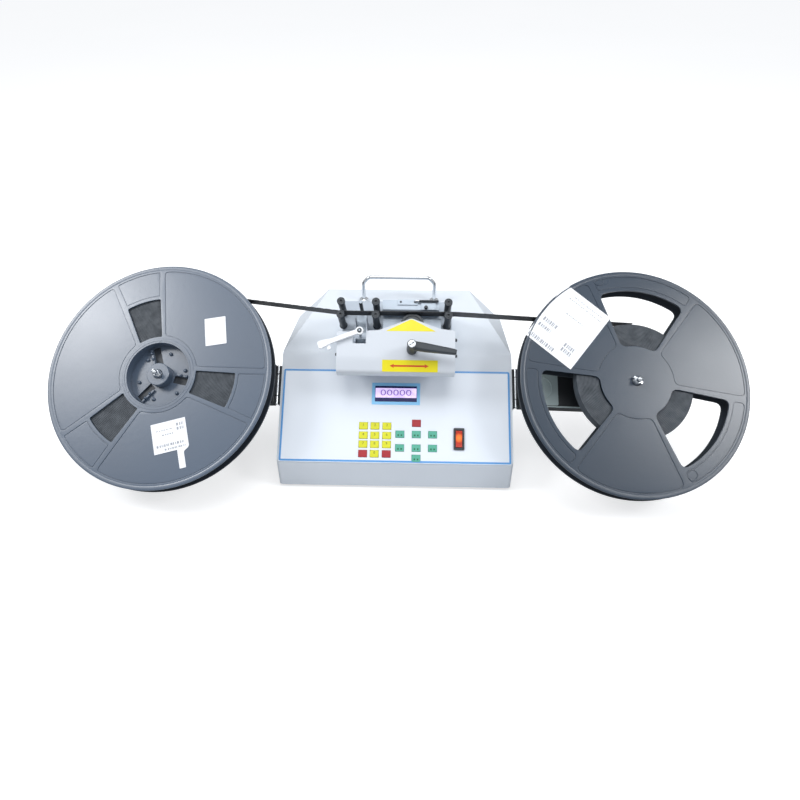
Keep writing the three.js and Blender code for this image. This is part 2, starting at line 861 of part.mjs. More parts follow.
// Carry handle: a bent rod with cut-off corners, standing in two ferrules
function carryHandle() {
  const half = handleSpan / 2;
  const corners = [
    [-half, 0],
    [-half, handleRise - handleChamferZ, handleBend],
    [-half + handleChamferX, handleRise, handleBend],
    [half - handleChamferX, handleRise, handleBend],
    [half, handleRise - handleChamferZ, handleBend],
    [half, 0],
  ];
  const path = [];
  corners.forEach(([x, z, reach], index) => {
    if (!reach) {
      path.push(new THREE.Vector3(x, 0, z));
      return;
    }
    const corner = new THREE.Vector3(x, 0, z);
    const before = new THREE.Vector3(corners[index - 1][0], 0, corners[index - 1][1]);
    const after = new THREE.Vector3(corners[index + 1][0], 0, corners[index + 1][1]);
    const enter = before.sub(corner).setLength(reach).add(corner);
    const leave = after.sub(corner).setLength(reach).add(corner);
    const bend = new THREE.QuadraticBezierCurve3(enter, corner, leave);
    path.push(...bend.getPoints(2));
  });
  const sides = 8;
  const sections = path.map((point, index) => {
    const ahead = path[Math.min(index + 1, path.length - 1)].clone().sub(path[Math.max(index - 1, 0)]);
    const sideways = new THREE.Vector3(ahead.z, 0, -ahead.x).normalize();
    return Array.from({ length: sides }, (_, side) => {
      const angle = 2 * Math.PI * side / sides;
      return point.clone()
        .addScaledVector(sideways, handleRod * Math.cos(angle))
        .add(new THREE.Vector3(0, handleRod * Math.sin(angle), 0));
    });
  });
  const ferrules = [-half, half].map((x) => turned([
    [0, 0],
    [handleFerrule, 0],
    [handleFerrule, handleFerruleHeight * crownHeightShare],
    [handleFerrule * crownRadiusShare, handleFerruleHeight],
    [0, handleFerruleHeight],
  ], 12).translate(x, 0, 0));
  return join(loft(sections), ...ferrules);
}
const handle = piece('carry_handle', carryHandle(), chromeSteel, machine);
handle.position.set(0, caseDepth - handleBack, 0);
handle.position.z = caseTop - handleBack * Math.tan(topAngle) + seatGap + handleFerrule * Math.tan(topAngle);

// Power inlet in the back wall, with its cavity and three blades
function powerInlet() {
  const flange = slab(
    outlineOf(rectangle(inletFlangeWidth, inletFlangeHeight), inletCorner, 2),
    0,
    inletFlangeThickness,
  );
  const body = slab(outlineOf(rectangle(inletBodyWidth, inletBodyHeight)), -inletBodyDepth, weldDepth);
  const half = inletCavityWidth / 2;
  const rise = inletCavityHeight / 2;
  const cavity = slab(outlineOf([
    [-half, -rise],
    [half, -rise],
    [half, rise - inletCavityCut],
    [half - inletCavityCut, rise],
    [-half + inletCavityCut, rise],
    [-half, rise - inletCavityCut],
  ]), inletFlangeThickness - inletCavityDepth, inletFlangeThickness + overrun);
  const floor = inletFlangeThickness - inletCavityDepth - weldDepth;
  const blades = [-1, 0, 1].map((place) => slab(
    outlineOf(rectangle(inletPinWidth, inletPinHeight)),
    floor,
    floor + inletPinLength,
  ).translate(place * inletPinSpread, place === 0 ? inletPinRise : -inletPinRise, 0));
  return blades.map(toSolid).reduce((a, b) => a.add(b), cut(join(flange, body), cavity));
}
const inlet = piece('power_inlet', powerInlet(), blackPlastic, machine);
inlet.position.set(inletX, caseDepth + seatGap, inletZ);
inlet.rotation.set(-Math.PI / 2, 0, Math.PI);

// Tape head

function headBase() {
  const outer = across(outlineOf([
    [baseLow, seatGap],
    [bendAt(seatGap), seatGap],
    [baseHigh, pastBend(baseHigh, seatGap)],
    [baseHigh, baseFloor, baseEdgeRadius],
    [baseLow, baseFloor, baseEdgeRadius],
  ]), -baseHalfWidth, baseHalfWidth);
  const inner = across(outlineOf([
    [baseLow + baseSheet, seatGap - overrun],
    [bendAt(seatGap), seatGap - overrun],
    [baseHigh - baseSheet, pastBend(baseHigh, seatGap) - overrun],
    [baseHigh - baseSheet, baseFloor - baseSheet],
    [baseLow + baseSheet, baseFloor - baseSheet],
  ]), -baseHalfWidth + baseSheet, baseHalfWidth - baseSheet);
  const earLine = outlineOf([
    [earLow, baseFloor - weldDepth],
    [earHigh, baseFloor - weldDepth],
    [earHigh, earHeight, bendRadius],
    [earLow, earHeight, bendRadius],
  ]);
  const ears = [
    across(earLine, -baseHalfWidth, -baseHalfWidth + baseSheet),
    across(earLine, baseHalfWidth - baseSheet, baseHalfWidth),
  ];
  const axles = rollerColumns.flatMap((x) => rollerRows.map((s) => (
    rod(rollerAxleRadius, baseFloor - weldDepth, rollerTop - rollerAxleShort, 8).translate(x, s, 0)
  )));
  const channelHalf = channelWidth / 2;
  const channel = [
    block(
      channelX - channelHalf - channelWall,
      channelX - channelHalf,
      channelLow,
      channelHigh,
      baseFloor - weldDepth,
      channelTop,
    ),
    block(
      channelX + channelHalf,
      channelX + channelHalf + channelWall,
      channelLow,
      channelHigh,
      baseFloor - weldDepth,
      channelTop,
    ),
    block(
      channelX - channelHalf - weldDepth,
      channelX + channelHalf + weldDepth,
      leverPivotS - leverBridge / 2,
      leverPivotS + leverBridge / 2,
      channelTop - channelWall,
      channelTop,
    ),
    rod(leverPinRadius, channelTop - weldDepth, leverPinTop, 10).translate(channelX, leverPivotS, 0),
  ];
  const shaftHole = rod(drumShaftRadius + runGap, baseFloor - baseSheet - overrun, baseFloor + overrun, 20)
    .translate(drumX, drumS, 0);
  const added = [...ears, ...axles, ...channel].map(toSolid).reduce((a, b) => a.add(b));
  return cut(toSolid(outer), inner, shaftHole).add(added);
}
piece('head_base', headBase(), greySheet, slope);

// Cover: one folded sheet with two side walls, a tongue beside the drum and a notch for the lever
function headCover() {
  const sheetLine = outlineOf([
    [coverFront, coverFrontBottom],
    [coverFront, coverFrontTop, coverBend + coverSheet],
    [coverFold, coverTop, coverBend + coverSheet],
    [tonguePeak, coverTop],
    [tonguePeak, coverTop - coverSheet],
    [coverFold, coverTop - coverSheet, coverBend],
    [coverFront + coverSheet, coverFrontTop - coverSheet, coverBend],
    [coverFront + coverSheet, coverFrontBottom],
  ]);
  const hood = toSolid(across(sheetLine, -coverHalfWidth, coverHalfWidth));
  const plan = slab(outlineOf([
    [-coverHalfWidth, coverFront, coverCorner],
    [coverHalfWidth, coverFront, coverCorner],
    [coverHalfWidth, coverBackRight - coverCorner],
    [tongueRight, coverBackRight],
    [tongueX, tonguePeak, tonguePeakRadius],
    [tongueLeft, coverBack + coverCorner],
    [notchRight, coverBack + coverCorner / 2],
    [notchRight, notchLow, notchCorner],
    [notchLeft, notchLow, notchCorner],
    [notchLeft, coverBack],
    [-coverHalfWidth, coverBack],
  ]), coverFrontBottom - overrun, coverTop + overrun);
  const wallLine = outlineOf([
    [coverFront, coverFrontBottom],
    [coverFront + coverFootSetback, coverFrontBottom, coverCorner],
    [earLow, coverSideBottom, coverCorner],
    [coverBack, coverSideBottom],
    [coverBack, coverTop - coverSheet / 2],
    [coverFold, coverTop - coverSheet / 2],
    [coverFront + coverSheet / 2, coverFrontTop - coverSheet / 2],
  ]);
  const walls = [-1, 1].map((side) => across(
    wallLine,
    side > 0 ? coverHalfWidth - coverSheet : -coverHalfWidth,
    side > 0 ? coverHalfWidth : -coverHalfWidth + coverSheet,
  ));
  const screws = [-1, 1].flatMap((side) => [sideScrewLow, sideScrewHigh].map((s) => turned([
    [0, -weldDepth],
    [sideScrewRadius, -weldDepth],
    [sideScrewRadius, sideScrewHead * crownHeightShare],
    [sideScrewRadius * crownRadiusShare, sideScrewHead],
    [0, sideScrewHead],
  ], 8).rotateY(side * Math.PI / 2).translate(side * coverHalfWidth, s, sideScrewHeight)));
  const screwHole = rod(clampScrewRadius + runGap, coverTop - coverSheet - overrun, coverTop + overrun, 20)
    .translate(clampX, clampS, 0);
  const sheet = cut(hood.intersect(toSolid(plan)), screwHole);
  return [...walls, ...screws].map(toSolid).reduce((a, b) => a.add(b), sheet);
}
piece('head_cover', headCover(), whiteCoat, slope);

// Rollers: sleeves with a flanged foot and a ringed cap, each on its own axle
function roller() {
  const bottom = baseFloor + seatGap;
  const bore = rollerAxleRadius + runGap;
  const boreTop = rollerTop - rollerAxleShort + runGap;
  return turned([
    [bore, bottom],
    [rollerCapRadius, bottom],
    [rollerCapRadius, bottom + rollerFootHeight],
    [rollerRadius, bottom + rollerFootHeight],
    [rollerRadius, rollerTop - rollerCapHeight],
    [rollerCapRadius, rollerTop - rollerCapHeight],
    [rollerCapRadius, rollerTop],
    [rollerSocketRadius, rollerTop],
    [rollerSocketRadius, rollerTop - rollerSocketDepth],
    [0, rollerTop - rollerSocketDepth],
    [0, boreTop],
    [bore, boreTop],
    [bore, bottom],
  ], 10);
}
rollerColumns.forEach((x, column) => rollerRows.forEach((s, row) => {
  const name = `roller_${['left', 'middle', 'right'][column]}_${['lower', 'upper'][row]}`;
  piece(name, roller(), blackPlastic, slope).position.set(x, s, 0);
}));

// Drum: a flanged sprocket on a shaft that runs down into the encoder
function countingDrum() {
  const body = turned([
    [0, drumBottom],
    [drumRadius, drumBottom],
    [drumRadius, drumTop - drumRimHeight],
    [drumRimRadius, drumTop - drumRimHeight],
    [drumRimRadius, drumTop],
    [drumFaceRadius, drumTop],
    [drumFaceRadius, drumTop - drumFaceDepth],
    [drumHubRadius, drumTop - drumFaceDepth],
    [drumHubRadius, drumTop],
    [0, drumTop],
  ], drumToothCount);
  const teeth = Array.from({ length: drumToothCount }, (_, tooth) => {
    const angle = 2 * Math.PI * tooth / drumToothCount;
    return block(
      drumRadius - weldDepth,
      drumRimRadius,
      -drumToothWidth / 2,
      drumToothWidth / 2,
      drumToothLevel - drumToothHeight / 2,
      drumToothLevel + drumToothHeight / 2,
    ).rotateZ(angle);
  });
  const shaft = rod(drumShaftRadius, baseFloor - drumShaftDepth, drumBottom + weldDepth, 12);
  return join(body, shaft, ...teeth);
}
piece('counting_drum', countingDrum(), blackPlastic, slope).position.set(drumX, drumS, 0);

function drumEncoder() {
  const top = baseFloor - baseSheet - seatGap;
  const body = turned([
    [0, top - encoderHeight],
    [encoderRadius, top - encoderHeight],
    [encoderRadius, top - encoderCollarHeight],
    [encoderCollarRadius, top - encoderCollarHeight],
    [encoderCollarRadius, top],
    [0, top],
  ], 20);
  const bore = rod(
    drumShaftRadius + runGap,
    baseFloor - drumShaftDepth - seatGap,
    top + overrun,
    12,
  );
  return cut(toSolid(body), bore);
}
piece('drum_encoder', drumEncoder(), brightSteel, slope).position.set(drumX, drumS, 0);

// Rails on both sides of the tape
function lowerRail() {
  const bottom = baseFloor + seatGap;
  const bar = across(outlineOf([
    [lowerRailLow, bottom],
    [lowerRailHigh, bottom],
    [lowerRailHigh, lowerRailTop - railEdge],
    [lowerRailHigh - railEdge, lowerRailTop],
    [lowerRailLow, lowerRailTop],
  ]), lowerRailLeft, lowerRailRight);
  const pocket = rod(drumRimRadius + drumPocketGap, drumBottom - drumPocketGap, drumTop, 36)
    .translate(drumX, drumS, 0);
  const hole = rod(drumShaftRadius + drumPocketGap, baseFloor - overrun, drumTop, 12)
    .translate(drumX, drumS, 0);
  return cut(toSolid(bar), pocket, hole);
}
piece('lower_rail', lowerRail(), greySheet, slope);

function upperRail() {
  const bottom = baseFloor + seatGap;
  const bar = across(outlineOf([
    [upperRailLow, bottom],
    [upperRailHigh, bottom],
    [upperRailHigh, upperRailTop],
    [upperRailLow + railEdge, upperRailTop],
    [upperRailLow, upperRailTop - railEdge],
  ]), upperRailLeft, upperRailRight);
  const step = block(
    stepPlateLeft,
    stepPlateRight,
    stepPlateLow,
    upperRailHigh,
    upperRailTop - weldDepth,
    upperRailTop + stepPlateRise,
  );
  return join(bar, step);
}
piece('upper_rail', upperRail(), greySheet, slope);

// Press bracket on the upper rail: a bent plate with a cross bar and a knob
function pressBracket() {
  const floor = upperRailTop + seatGap;
  const plate = block(pressLeft, pressRight, pressLow, pressHigh, floor, floor + pressSheet);
  const wall = block(
    pressLeft,
    pressRight,
    pressHigh - pressSheet,
    pressHigh,
    floor,
    floor + pressSheet + 2 * pressBarRadius,
  );
  const bar = rod(pressBarRadius, pressBarLeft, pressBarRight, 12)
    .rotateY(Math.PI / 2)
    .translate(0, pressHigh - pressSheet / 2, floor + pressSheet + 2 * pressBarRadius);
  const knob = turned([
    [0, floor],
    [pressKnobRadius, floor],
    [pressKnobRadius, floor + pressKnobHeight * crownHeightShare],
    [pressKnobRadius * crownRadiusShare, floor + pressKnobHeight],
    [0, floor + pressKnobHeight],
  ], 12).translate(pressKnobX, pressKnobS, 0);
  return join(plate, wall, bar, knob);
}
piece('press_bracket', pressBracket(), greySheet, slope);

// Guide slide: a bar in the channel that carries the guide post behind the tape
function guideSlide() {
  const half = channelWidth / 2 - seatGap;
  const floor = baseFloor + seatGap;
  const bar = block(-half, half, slideLow, postS + postRadius + seatGap, floor, floor + slideHeight);
  const post = turned([
    [0, floor + weldDepth],
    [postRadius, floor + weldDepth],
    [postRadius, postTop - postRadius * crownHeightShare],
    [postRadius * crownRadiusShare, postTop],
    [0, postTop],
  ], 12).translate(0, postS, 0);
  return join(bar, post);
}
piece('guide_slide', guideSlide(), blackCoat, slope).position.set(channelX, 0, 0);

// Release lever: a hub on the pin, a slim arm and a thicker finger end with a hook below it
function releaseLever() {
  const top = leverBottom + leverThickness;
  const hub = rod(leverHubRadius, leverBottom, top, 20);
  const arm = slab(outlineOf([
    [0, -leverArmWidth / 2],
    [leverReach - leverTipLength, -leverArmWidth / 2],
    [leverReach - leverTipLength / 2, -leverTipWidth / 2, leverArmWidth / 2],
    [leverReach, -leverTipWidth / 2, leverArmWidth / 2],
    [leverReach, leverTipWidth / 2, leverArmWidth / 2],
    [leverReach - leverTipLength, leverArmWidth / 2],
    [0, leverArmWidth / 2],
  ]), leverBottom, top);
  const hookX = leverReach - leverHookSetback;
  const hook = block(
    hookX - leverHookWidth / 2,
    hookX + leverHookWidth / 2,
    leverTipWidth / 2 - leverHookWidth / 2,
    leverTipWidth / 2 + leverHookDepth,
    leverBottom,
    leverBottom + leverHookThickness,
  );
  const bore = rod(leverPinRadius + runGap, leverBottom - overrun, top + overrun, 12);
  return cut(join(hub, arm, hook), bore);
}
const lever = piece('release_lever', releaseLever(), whitePlastic, slope);
lever.position.set(channelX, leverPivotS, 0);
lever.rotation.z = leverAngle;

// Clamp lever: a hub with a slotted cap, a tapered arm and the screw that goes down to the shoe
function clampLever() {
  const bottom = coverTop + seatGap;
  const top = bottom + clampHeight;
  const hub = turned([
    [0, bottom],
    [clampHubRadius, bottom],
    [clampHubRadius, bottom + clampHeight * clampSkirtShare],
    [clampHubTopRadius, bottom + clampHeight * clampWaistShare],
    [clampHubTopRadius, top],
    [clampCapRadius, top],
    [clampCapRadius, top + clampCapHeight],
    [0, top + clampCapHeight],
  ], 18);
  const armTop = top - clampArmTopDrop;
  const mix = (from, to, share) => from + (to - from) * share;
  const halfSection = [...clampSectionShares].reverse();
  const arm = loft(clampArmShares.map(([reach, taper, drop]) => {
    const width = mix(clampArmWidth, clampTipWidth, taper);
    const depth = mix(clampArmDepth, clampTipDepth, Math.min(taper, 1));
    const at = (y, z) => new THREE.Vector3(clampReach * reach, width * y, armTop + depth * (z - drop));
    return [
      ...halfSection.map(([y, z]) => at(-y, z)),
      ...clampSectionShares.map(([y, z]) => at(y, z)),
    ];
  }));
  const slot = block(
    -clampCapRadius * clampSlotShare,
    clampCapRadius * clampSlotShare,
    -clampSlotWidth / 2,
    clampSlotWidth / 2,
    top + clampCapHeight - clampSlotDepth,
    top + clampCapHeight + overrun,
  );
  const screw = rod(clampScrewRadius, bottom - clampScrewDepth, bottom + weldDepth, 12);
  return cut(join(hub, arm, screw), slot);
}
const clamp = piece('clamp_lever', clampLever(), blackPlastic, slope);
clamp.position.set(clampX, clampS, 0);
clamp.rotation.z = clampAngle;

// Clamp shoe: the nut of the clamping screw, which draws it up under the cover
function clampShoe() {
  const top = coverTop - coverSheet - seatGap;
  const plate = rod(shoeRadius, top - shoeThickness, top, 16);
  const boss = rod(shoeBossRadius, top - shoeThickness - shoeBossHeight, top - weldDepth, 12);
  const bore = rod(
    clampScrewRadius + runGap,
    top - shoeThickness - shoeBossHeight - overrun,
    top + overrun,
    12,
  );
  return cut(join(plate, boss), bore);
}
piece('clamp_shoe', clampShoe(), brightSteel, slope).position.set(clampX, clampS, 0);

// Arms

// One side: the leaf on the case, the arm, its spindle, and the reel and winding on it
function armSide(side, label, reelSolid, winding, spanSolid, material) {
  const place = (solid) => (side > 0 ? solid : solid.mirror([1, 0, 0]));
  const solidOf = (shape) => (shape.isBufferGeometry ? toSolid(shape) : shape);
  const pivot = new THREE.Group();
  pivot.position.set(side * hingeX, armCentre, hingeHeight);
  slope.add(pivot);
  const arm = new THREE.Group();
  arm.rotation.y = side * armSweep;
  pivot.add(arm);
  piece(`hinge_leaf_${label}`, place(hingeLeaf()), blackCoat, pivot);
  piece(`arm_${label}`, place(armChannel()), blackCoat, arm);
  piece(`spindle_${label}`, place(solidOf(spindle())), brightSteel, arm);
  piece(`reel_${label}`, place(reelSolid), material, arm);
  piece(`winding_${label}`, place(solidOf(winding)), tapePlastic, arm);
  piece(`tape_${label}`, place(spanSolid), tapePlastic, arm);
}

// Round the hinge pin the middle knuckle is the arm's and the outer two are the leaf's
function hingeLeaf() {
  const wall = caseWidth / 2 + seatGap - hingeX;
  const leaf = across(outlineOf([
    [-armWidth / 2, -leafDrop],
    [armWidth / 2, -leafDrop],
    [armWidth / 2, leafTop],
    [-armWidth / 2, leafTop],
  ], leafCorner), wall, wall + leafThickness);
  const barrels = [-1, 1].flatMap((end) => {
    const near = end * (knuckleLength / 2 + seatGap);
    const far = end * armWidth / 2;
    const low = Math.min(near, far);
    const high = Math.max(near, far);
    return [
      rod(knuckleRadius, -high, -low, 12).rotateX(Math.PI / 2),
      block(wall + leafThickness / 2, 0, low, high, -knuckleRadius, 0),
    ];
  });
  const pin = rod(hingePinRadius, -armWidth / 2, armWidth / 2, 8).rotateX(Math.PI / 2);
  return join(leaf, ...barrels, pin);
}

// A channel of bent sheet, round at its outer end, with the middle knuckle and a stop at the back
function armChannel() {
  const half = armWidth / 2;
  const plan = (inset) => {
    const shape = new THREE.Shape();
    shape.moveTo(armStart + inset, -half + inset);
    shape.lineTo(spindleReach, -half + inset);
    shape.absarc(spindleReach, 0, half - inset, -Math.PI / 2, Math.PI / 2, false);
    shape.lineTo(armStart + inset, half - inset);
    shape.closePath();
    return shape;
  };
  const outer = slab(plan(0), armFace - armDepth, armFace, 8);
  const inner = slab(plan(armSheet), armFace - armDepth - overrun, armFace - armSheet, 8);
  const knuckle = rod(knuckleRadius, -knuckleLength / 2, knuckleLength / 2, 12).rotateX(Math.PI / 2);
  const web = block(0, armStart + armSheet, -knuckleLength / 2, knuckleLength / 2, -knuckleRadius, knuckleRadius);
  const stopX = caseWidth / 2 + 2 * seatGap + leafThickness - hingeX;
  const stopBottom = armFace - armDepth;
  const stop = across(outlineOf([
    [-knuckleLength / 2, stopBottom],
    [knuckleLength / 2, stopBottom],
    [knuckleLength / 2, stopBottom + armStopThickness],
    [-knuckleLength / 2, stopBottom + armStopThickness],
  ]), stopX, armStart + armSheet);
  const trimmed = toSolid(stop).trimByPlane(
    [Math.cos(armSweep), 0, Math.sin(armSweep)],
    stopX,
  );
  const pinHole = rod(hingePinRadius + runGap, -armWidth, armWidth, 8).rotateX(Math.PI / 2);
  return cut(cut(join(outer), inner).add(join(knuckle, web)).add(trimmed), pinHole);
}

const reelBack = reelPlane - reelWidth / 2;
const reelFront = reelPlane + reelWidth / 2;

function spindle() {
  return turned([
    [0, armFace + seatGap],
    [spindleBossRadius, armFace + seatGap],
    [spindleBossTopRadius, reelBack - seatGap - spindleSeatThickness],
    [spindleSeatRadius, reelBack - seatGap - spindleSeatThickness],
    [spindleSeatRadius, reelBack - seatGap],
    [spindleRadius, reelBack - seatGap],
    [spindleRadius, reelFront + seatGap],
    [spindleNutRadius, reelFront + seatGap],
    [spindleNutRadius, reelFront + seatGap + spindleNutHeight * crownHeightShare],
    [spindleNutRadius * crownRadiusShare, reelFront + seatGap + spindleNutHeight],
    [spindleTipRadius, reelFront + seatGap + spindleNutHeight],
    [spindleTipRadius, reelFront + spindleNutHeight + spindleTipHeight],
    [0, reelFront + spindleNutHeight + spindleTipHeight + spindleTipRadius / 2],
  ], 12).translate(spindleReach, 0, 0);
}

// Reels

// A window in a flange: a ring sector with rounded corners, about the X axis
function windowShape(inner, outer, half, radius) {
  const at = (distance, angle) => [distance * Math.cos(angle), distance * Math.sin(angle)];
  const outerTurn = radius / outer;
  const innerTurn = radius / inner;
  const shape = new THREE.Shape();
  shape.moveTo(...at(outer, outerTurn - half));
  shape.absarc(0, 0, outer, outerTurn - half, half - outerTurn, false);
  shape.quadraticCurveTo(...at(outer, half), ...at(outer - radius, half));
  shape.lineTo(...at(inner + radius, half));
  shape.quadraticCurveTo(...at(inner, half), ...at(inner, half - innerTurn));
  shape.absarc(0, 0, inner, half - innerTurn, innerTurn - half, true);
  shape.quadraticCurveTo(...at(inner, -half), ...at(inner + radius, -half));
  shape.lineTo(...at(outer - radius, -half));
  shape.quadraticCurveTo(...at(outer, -half), ...at(outer, outerTurn - half));
  return shape;
}

// A moulded reel: two flanges with rims and windows, a hub between them and a boss for the spindle.
// An open hub shows a recessed web with key slots, and a closed one is covered by the front flange.
function reel({ inner, outer, half, corner, turn, open }) {
  const back = reelPlane - reelWidth / 2;
  const front = reelPlane + reelWidth / 2;
  const frontHole = open ? openHubRadius : reelBore;
  const segments = 36;
  const flanges = [
    turned([
      [frontHole, front - flangeThickness],
      [reelRadius, front - flangeThickness],
      [reelRadius, front + rimProud],
      [reelRadius - rimWidth, front + rimProud],
      [reelRadius - rimWidth, front],
      [frontHole, front],
      [frontHole, front - flangeThickness],
    ], segments),
    turned([
      [openHubRadius, back],
      [reelRadius - rimWidth, back],
      [reelRadius - rimWidth, back - rimProud],
      [reelRadius, back - rimProud],
      [reelRadius, back + flangeThickness],
      [openHubRadius, back + flangeThickness],
      [openHubRadius, back],
    ], segments),
  ];
  const hub = tubeRing(reelHubRadius - reelHubWall, reelHubRadius, back + weldDepth, front - weldDepth, segments);
  const webTop = open ? front - openHubRecess : front;
  const web = tubeRing(reelBore, reelHubRadius - weldDepth, webTop - reelWebThickness, webTop, segments / 2);
  const bossTop = open ? front - openHubRecess + reelWebThickness : front - weldDepth;
  const boss = tubeRing(reelBore, reelBossRadius, back + weldDepth, bossTop, segments / 2);
  const sector = windowShape(inner, outer, half, corner);
  const windows = Array.from({ length: windowCount }, (_, index) => (
    slab(sector, back - overrun, front + overrun, windowSteps).rotateZ(turn + 2 * Math.PI * index / windowCount)
  ));
  const slots = open ? Array.from({ length: keySlotCount }, (_, index) => block(
    keySlotStart,
    keySlotStart + keySlotLength,
    -keySlotWidth / 2,
    keySlotWidth / 2,
    back - overrun,
    front + overrun,
  ).rotateZ(turn + 2 * Math.PI * index / keySlotCount)) : [];
  const ring = tubeRing(reelHubRadius - reelHubWall, reelHubRadius, back, front, segments);
  const cutFlanges = cut(join(...flanges), ...windows);
  return cut(cutFlanges.add(join(hub, web, boss)).add(toSolid(ring)), ...slots).translate([spindleReach, 0, 0]);
}

// A winding: one flat strip in a spiral, from the hub out, with the same gap between all its turns
function windingOf(outerRadius, name) {
  const flat = Math.cos(Math.PI / stepsPerLoop);
  const innerRadius = reelHubRadius / flat + windingStart;
  const thickness = windingPitch - windingGap;
  const loops = Math.floor((outerRadius - innerRadius - thickness) / windingPitch);
  const steps = loops * stepsPerLoop;
  const start = outerRadius - thickness - loops * windingPitch;
  const centre = [];
  const sections = Array.from({ length: steps + 1 }, (_, step) => {
    const angle = -2 * Math.PI * step / stepsPerLoop;
    const radius = start + windingPitch * step / stepsPerLoop;
    centre.push([radius, angle]);
    const at = (r, z) => new THREE.Vector3(r * Math.cos(angle), r * Math.sin(angle), z);
    return [
      at(radius, reelPlane - tapeWidth / 2),
      at(radius + thickness, reelPlane - tapeWidth / 2),
      at(radius + thickness, reelPlane + tapeWidth / 2),
      at(radius, reelPlane + tapeWidth / 2),
    ];
  });
  const gaps = centre.slice(stepsPerLoop).map(([radius], index) => (
    (radius - centre[index][0] - thickness) * flat
  ));
  console.log(`${name}: ${loops} loops, least gap to itself ${Math.min(...gaps).toFixed(2)} mm`);
  return loft(sections).translate(spindleReach, 0, 0);
}

// The tape between the rollers and a winding, in the plane of the reel
const spanStart = new THREE.Vector2(
  (Math.max(rollerColumns[2], -rollerColumns[0]) - hingeX + rollerCapRadius),
  tapeS - armCentre,
);

// A strip with pockets along one side; centreLine gives a point for a share from 0 to 1
function tapeStrip(centreLine, length, level) {
  const count = Math.floor(length / pocketPitch);
  const pitches = Array.from({ length: count }, (_, pitch) => pitch * pocketPitch);
  const place = (distance, lift) => {
    const [x, y] = centreLine(distance / length);
    return [x, y + lift];
  };
  const land = pocketPitch - pocketLength;
  const under = [...pitches, length].map((start) => place(start, 0));
  const over = pitches.flatMap((start) => [
    place(start, tapeThickness),
    place(start + land, tapeThickness),
    place(start + land + pocketTaper, tapeThickness + pocketHeight),
    place(start + pocketPitch - pocketTaper, tapeThickness + pocketHeight),
  ]);
  over.push(place(count * pocketPitch, tapeThickness), place(length, tapeThickness));
  return toSolid(slab(outlineOf([...under, ...over.reverse()]), level - tapeWidth / 2, level + tapeWidth / 2));
}

function tapeSpan(outerRadius) {
  const reach = outerRadius + seatGap + windingGap;
  const toCentre = new THREE.Vector2(spindleReach, 0).sub(spanStart);
  const heading = Math.atan2(toCentre.y, toCentre.x) + Math.asin(reach / toCentre.length());
  const length = Math.sqrt(toCentre.lengthSq() - reach ** 2);
  return tapeStrip(
    (share) => [
      spanStart.x + length * share * Math.cos(heading),
      spanStart.y + length * share * Math.sin(heading),
    ],
    length,
    reelPlane,
  );
}

armSide(-1, 'left', reel({
  inner: leftWindowInner,
  outer: leftWindowOuter,
  half: leftWindowHalfAngle,
  corner: leftWindowCorner,
  turn: Math.PI - leftWindowTurn,
  open: true,
}), windingOf(windingLeftRadius, 'Left winding'), tapeSpan(windingLeftRadius), reelPlastic);
armSide(1, 'right', reel({
  inner: rightWindowInner,
  outer: rightWindowOuter,
  half: rightWindowHalfAngle,
  corner: rightWindowCorner,
  turn: rightWindowTurn,
  open: false,
}), windingOf(windingRightRadius, 'Right winding'), tapeSpan(windingRightRadius), darkReelPlastic);

// The tape through the head, a little bowed between the outer rollers
function headTape() {
  const start = -hingeX - spanStart.x + seatGap;
  const length = -2 * start;
  return tapeStrip((share) => [
    start + length * share,
    tapeS + tapeBow * (drumX - start - length * share) ** 2 / (drumX - start) ** 2 / 2,
  ], length, tapeLevel);
}
piece('tape_head', headTape(), tapePlastic, slope);

// The model stands on Z = 0, centred under its own box
machine.updateMatrixWorld(true);
const extent = new THREE.Box3().setFromObject(machine, true);
const middle = extent.getCenter(new THREE.Vector3());
machine.position.set(-middle.x, -middle.y, -extent.min.z);

export default counter;
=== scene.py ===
"""Looks of the surface mount component counter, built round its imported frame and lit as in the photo."""
import json
import logging
import math
from dataclasses import dataclass, replace
from enum import Enum
from typing import Callable, Iterable, Sequence

import bmesh
import bpy
from mathutils import Matrix, Vector

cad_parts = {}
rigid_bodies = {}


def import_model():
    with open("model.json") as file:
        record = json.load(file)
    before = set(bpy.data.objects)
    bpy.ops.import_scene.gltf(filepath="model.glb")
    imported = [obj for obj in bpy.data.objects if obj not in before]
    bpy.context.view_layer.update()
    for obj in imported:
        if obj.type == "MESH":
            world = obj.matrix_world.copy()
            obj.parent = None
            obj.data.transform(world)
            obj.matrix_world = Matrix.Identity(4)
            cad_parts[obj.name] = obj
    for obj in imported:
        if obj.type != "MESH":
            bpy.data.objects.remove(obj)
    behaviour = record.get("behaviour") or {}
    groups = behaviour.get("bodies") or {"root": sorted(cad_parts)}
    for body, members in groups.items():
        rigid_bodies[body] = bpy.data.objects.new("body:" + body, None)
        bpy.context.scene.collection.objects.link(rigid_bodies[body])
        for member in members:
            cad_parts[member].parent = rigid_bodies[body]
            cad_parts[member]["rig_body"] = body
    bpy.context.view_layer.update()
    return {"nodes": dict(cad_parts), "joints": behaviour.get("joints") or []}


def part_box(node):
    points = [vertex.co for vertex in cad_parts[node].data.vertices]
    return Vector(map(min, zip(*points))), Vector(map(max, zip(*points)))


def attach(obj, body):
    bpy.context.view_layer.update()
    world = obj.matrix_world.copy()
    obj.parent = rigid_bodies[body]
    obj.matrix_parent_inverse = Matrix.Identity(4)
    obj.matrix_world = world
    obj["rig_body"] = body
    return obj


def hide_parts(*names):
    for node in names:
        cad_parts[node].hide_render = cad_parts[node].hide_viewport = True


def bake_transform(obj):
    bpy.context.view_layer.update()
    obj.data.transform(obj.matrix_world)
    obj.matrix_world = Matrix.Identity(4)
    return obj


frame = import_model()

LOG = logging.getLogger("counter")
MM = 0.001
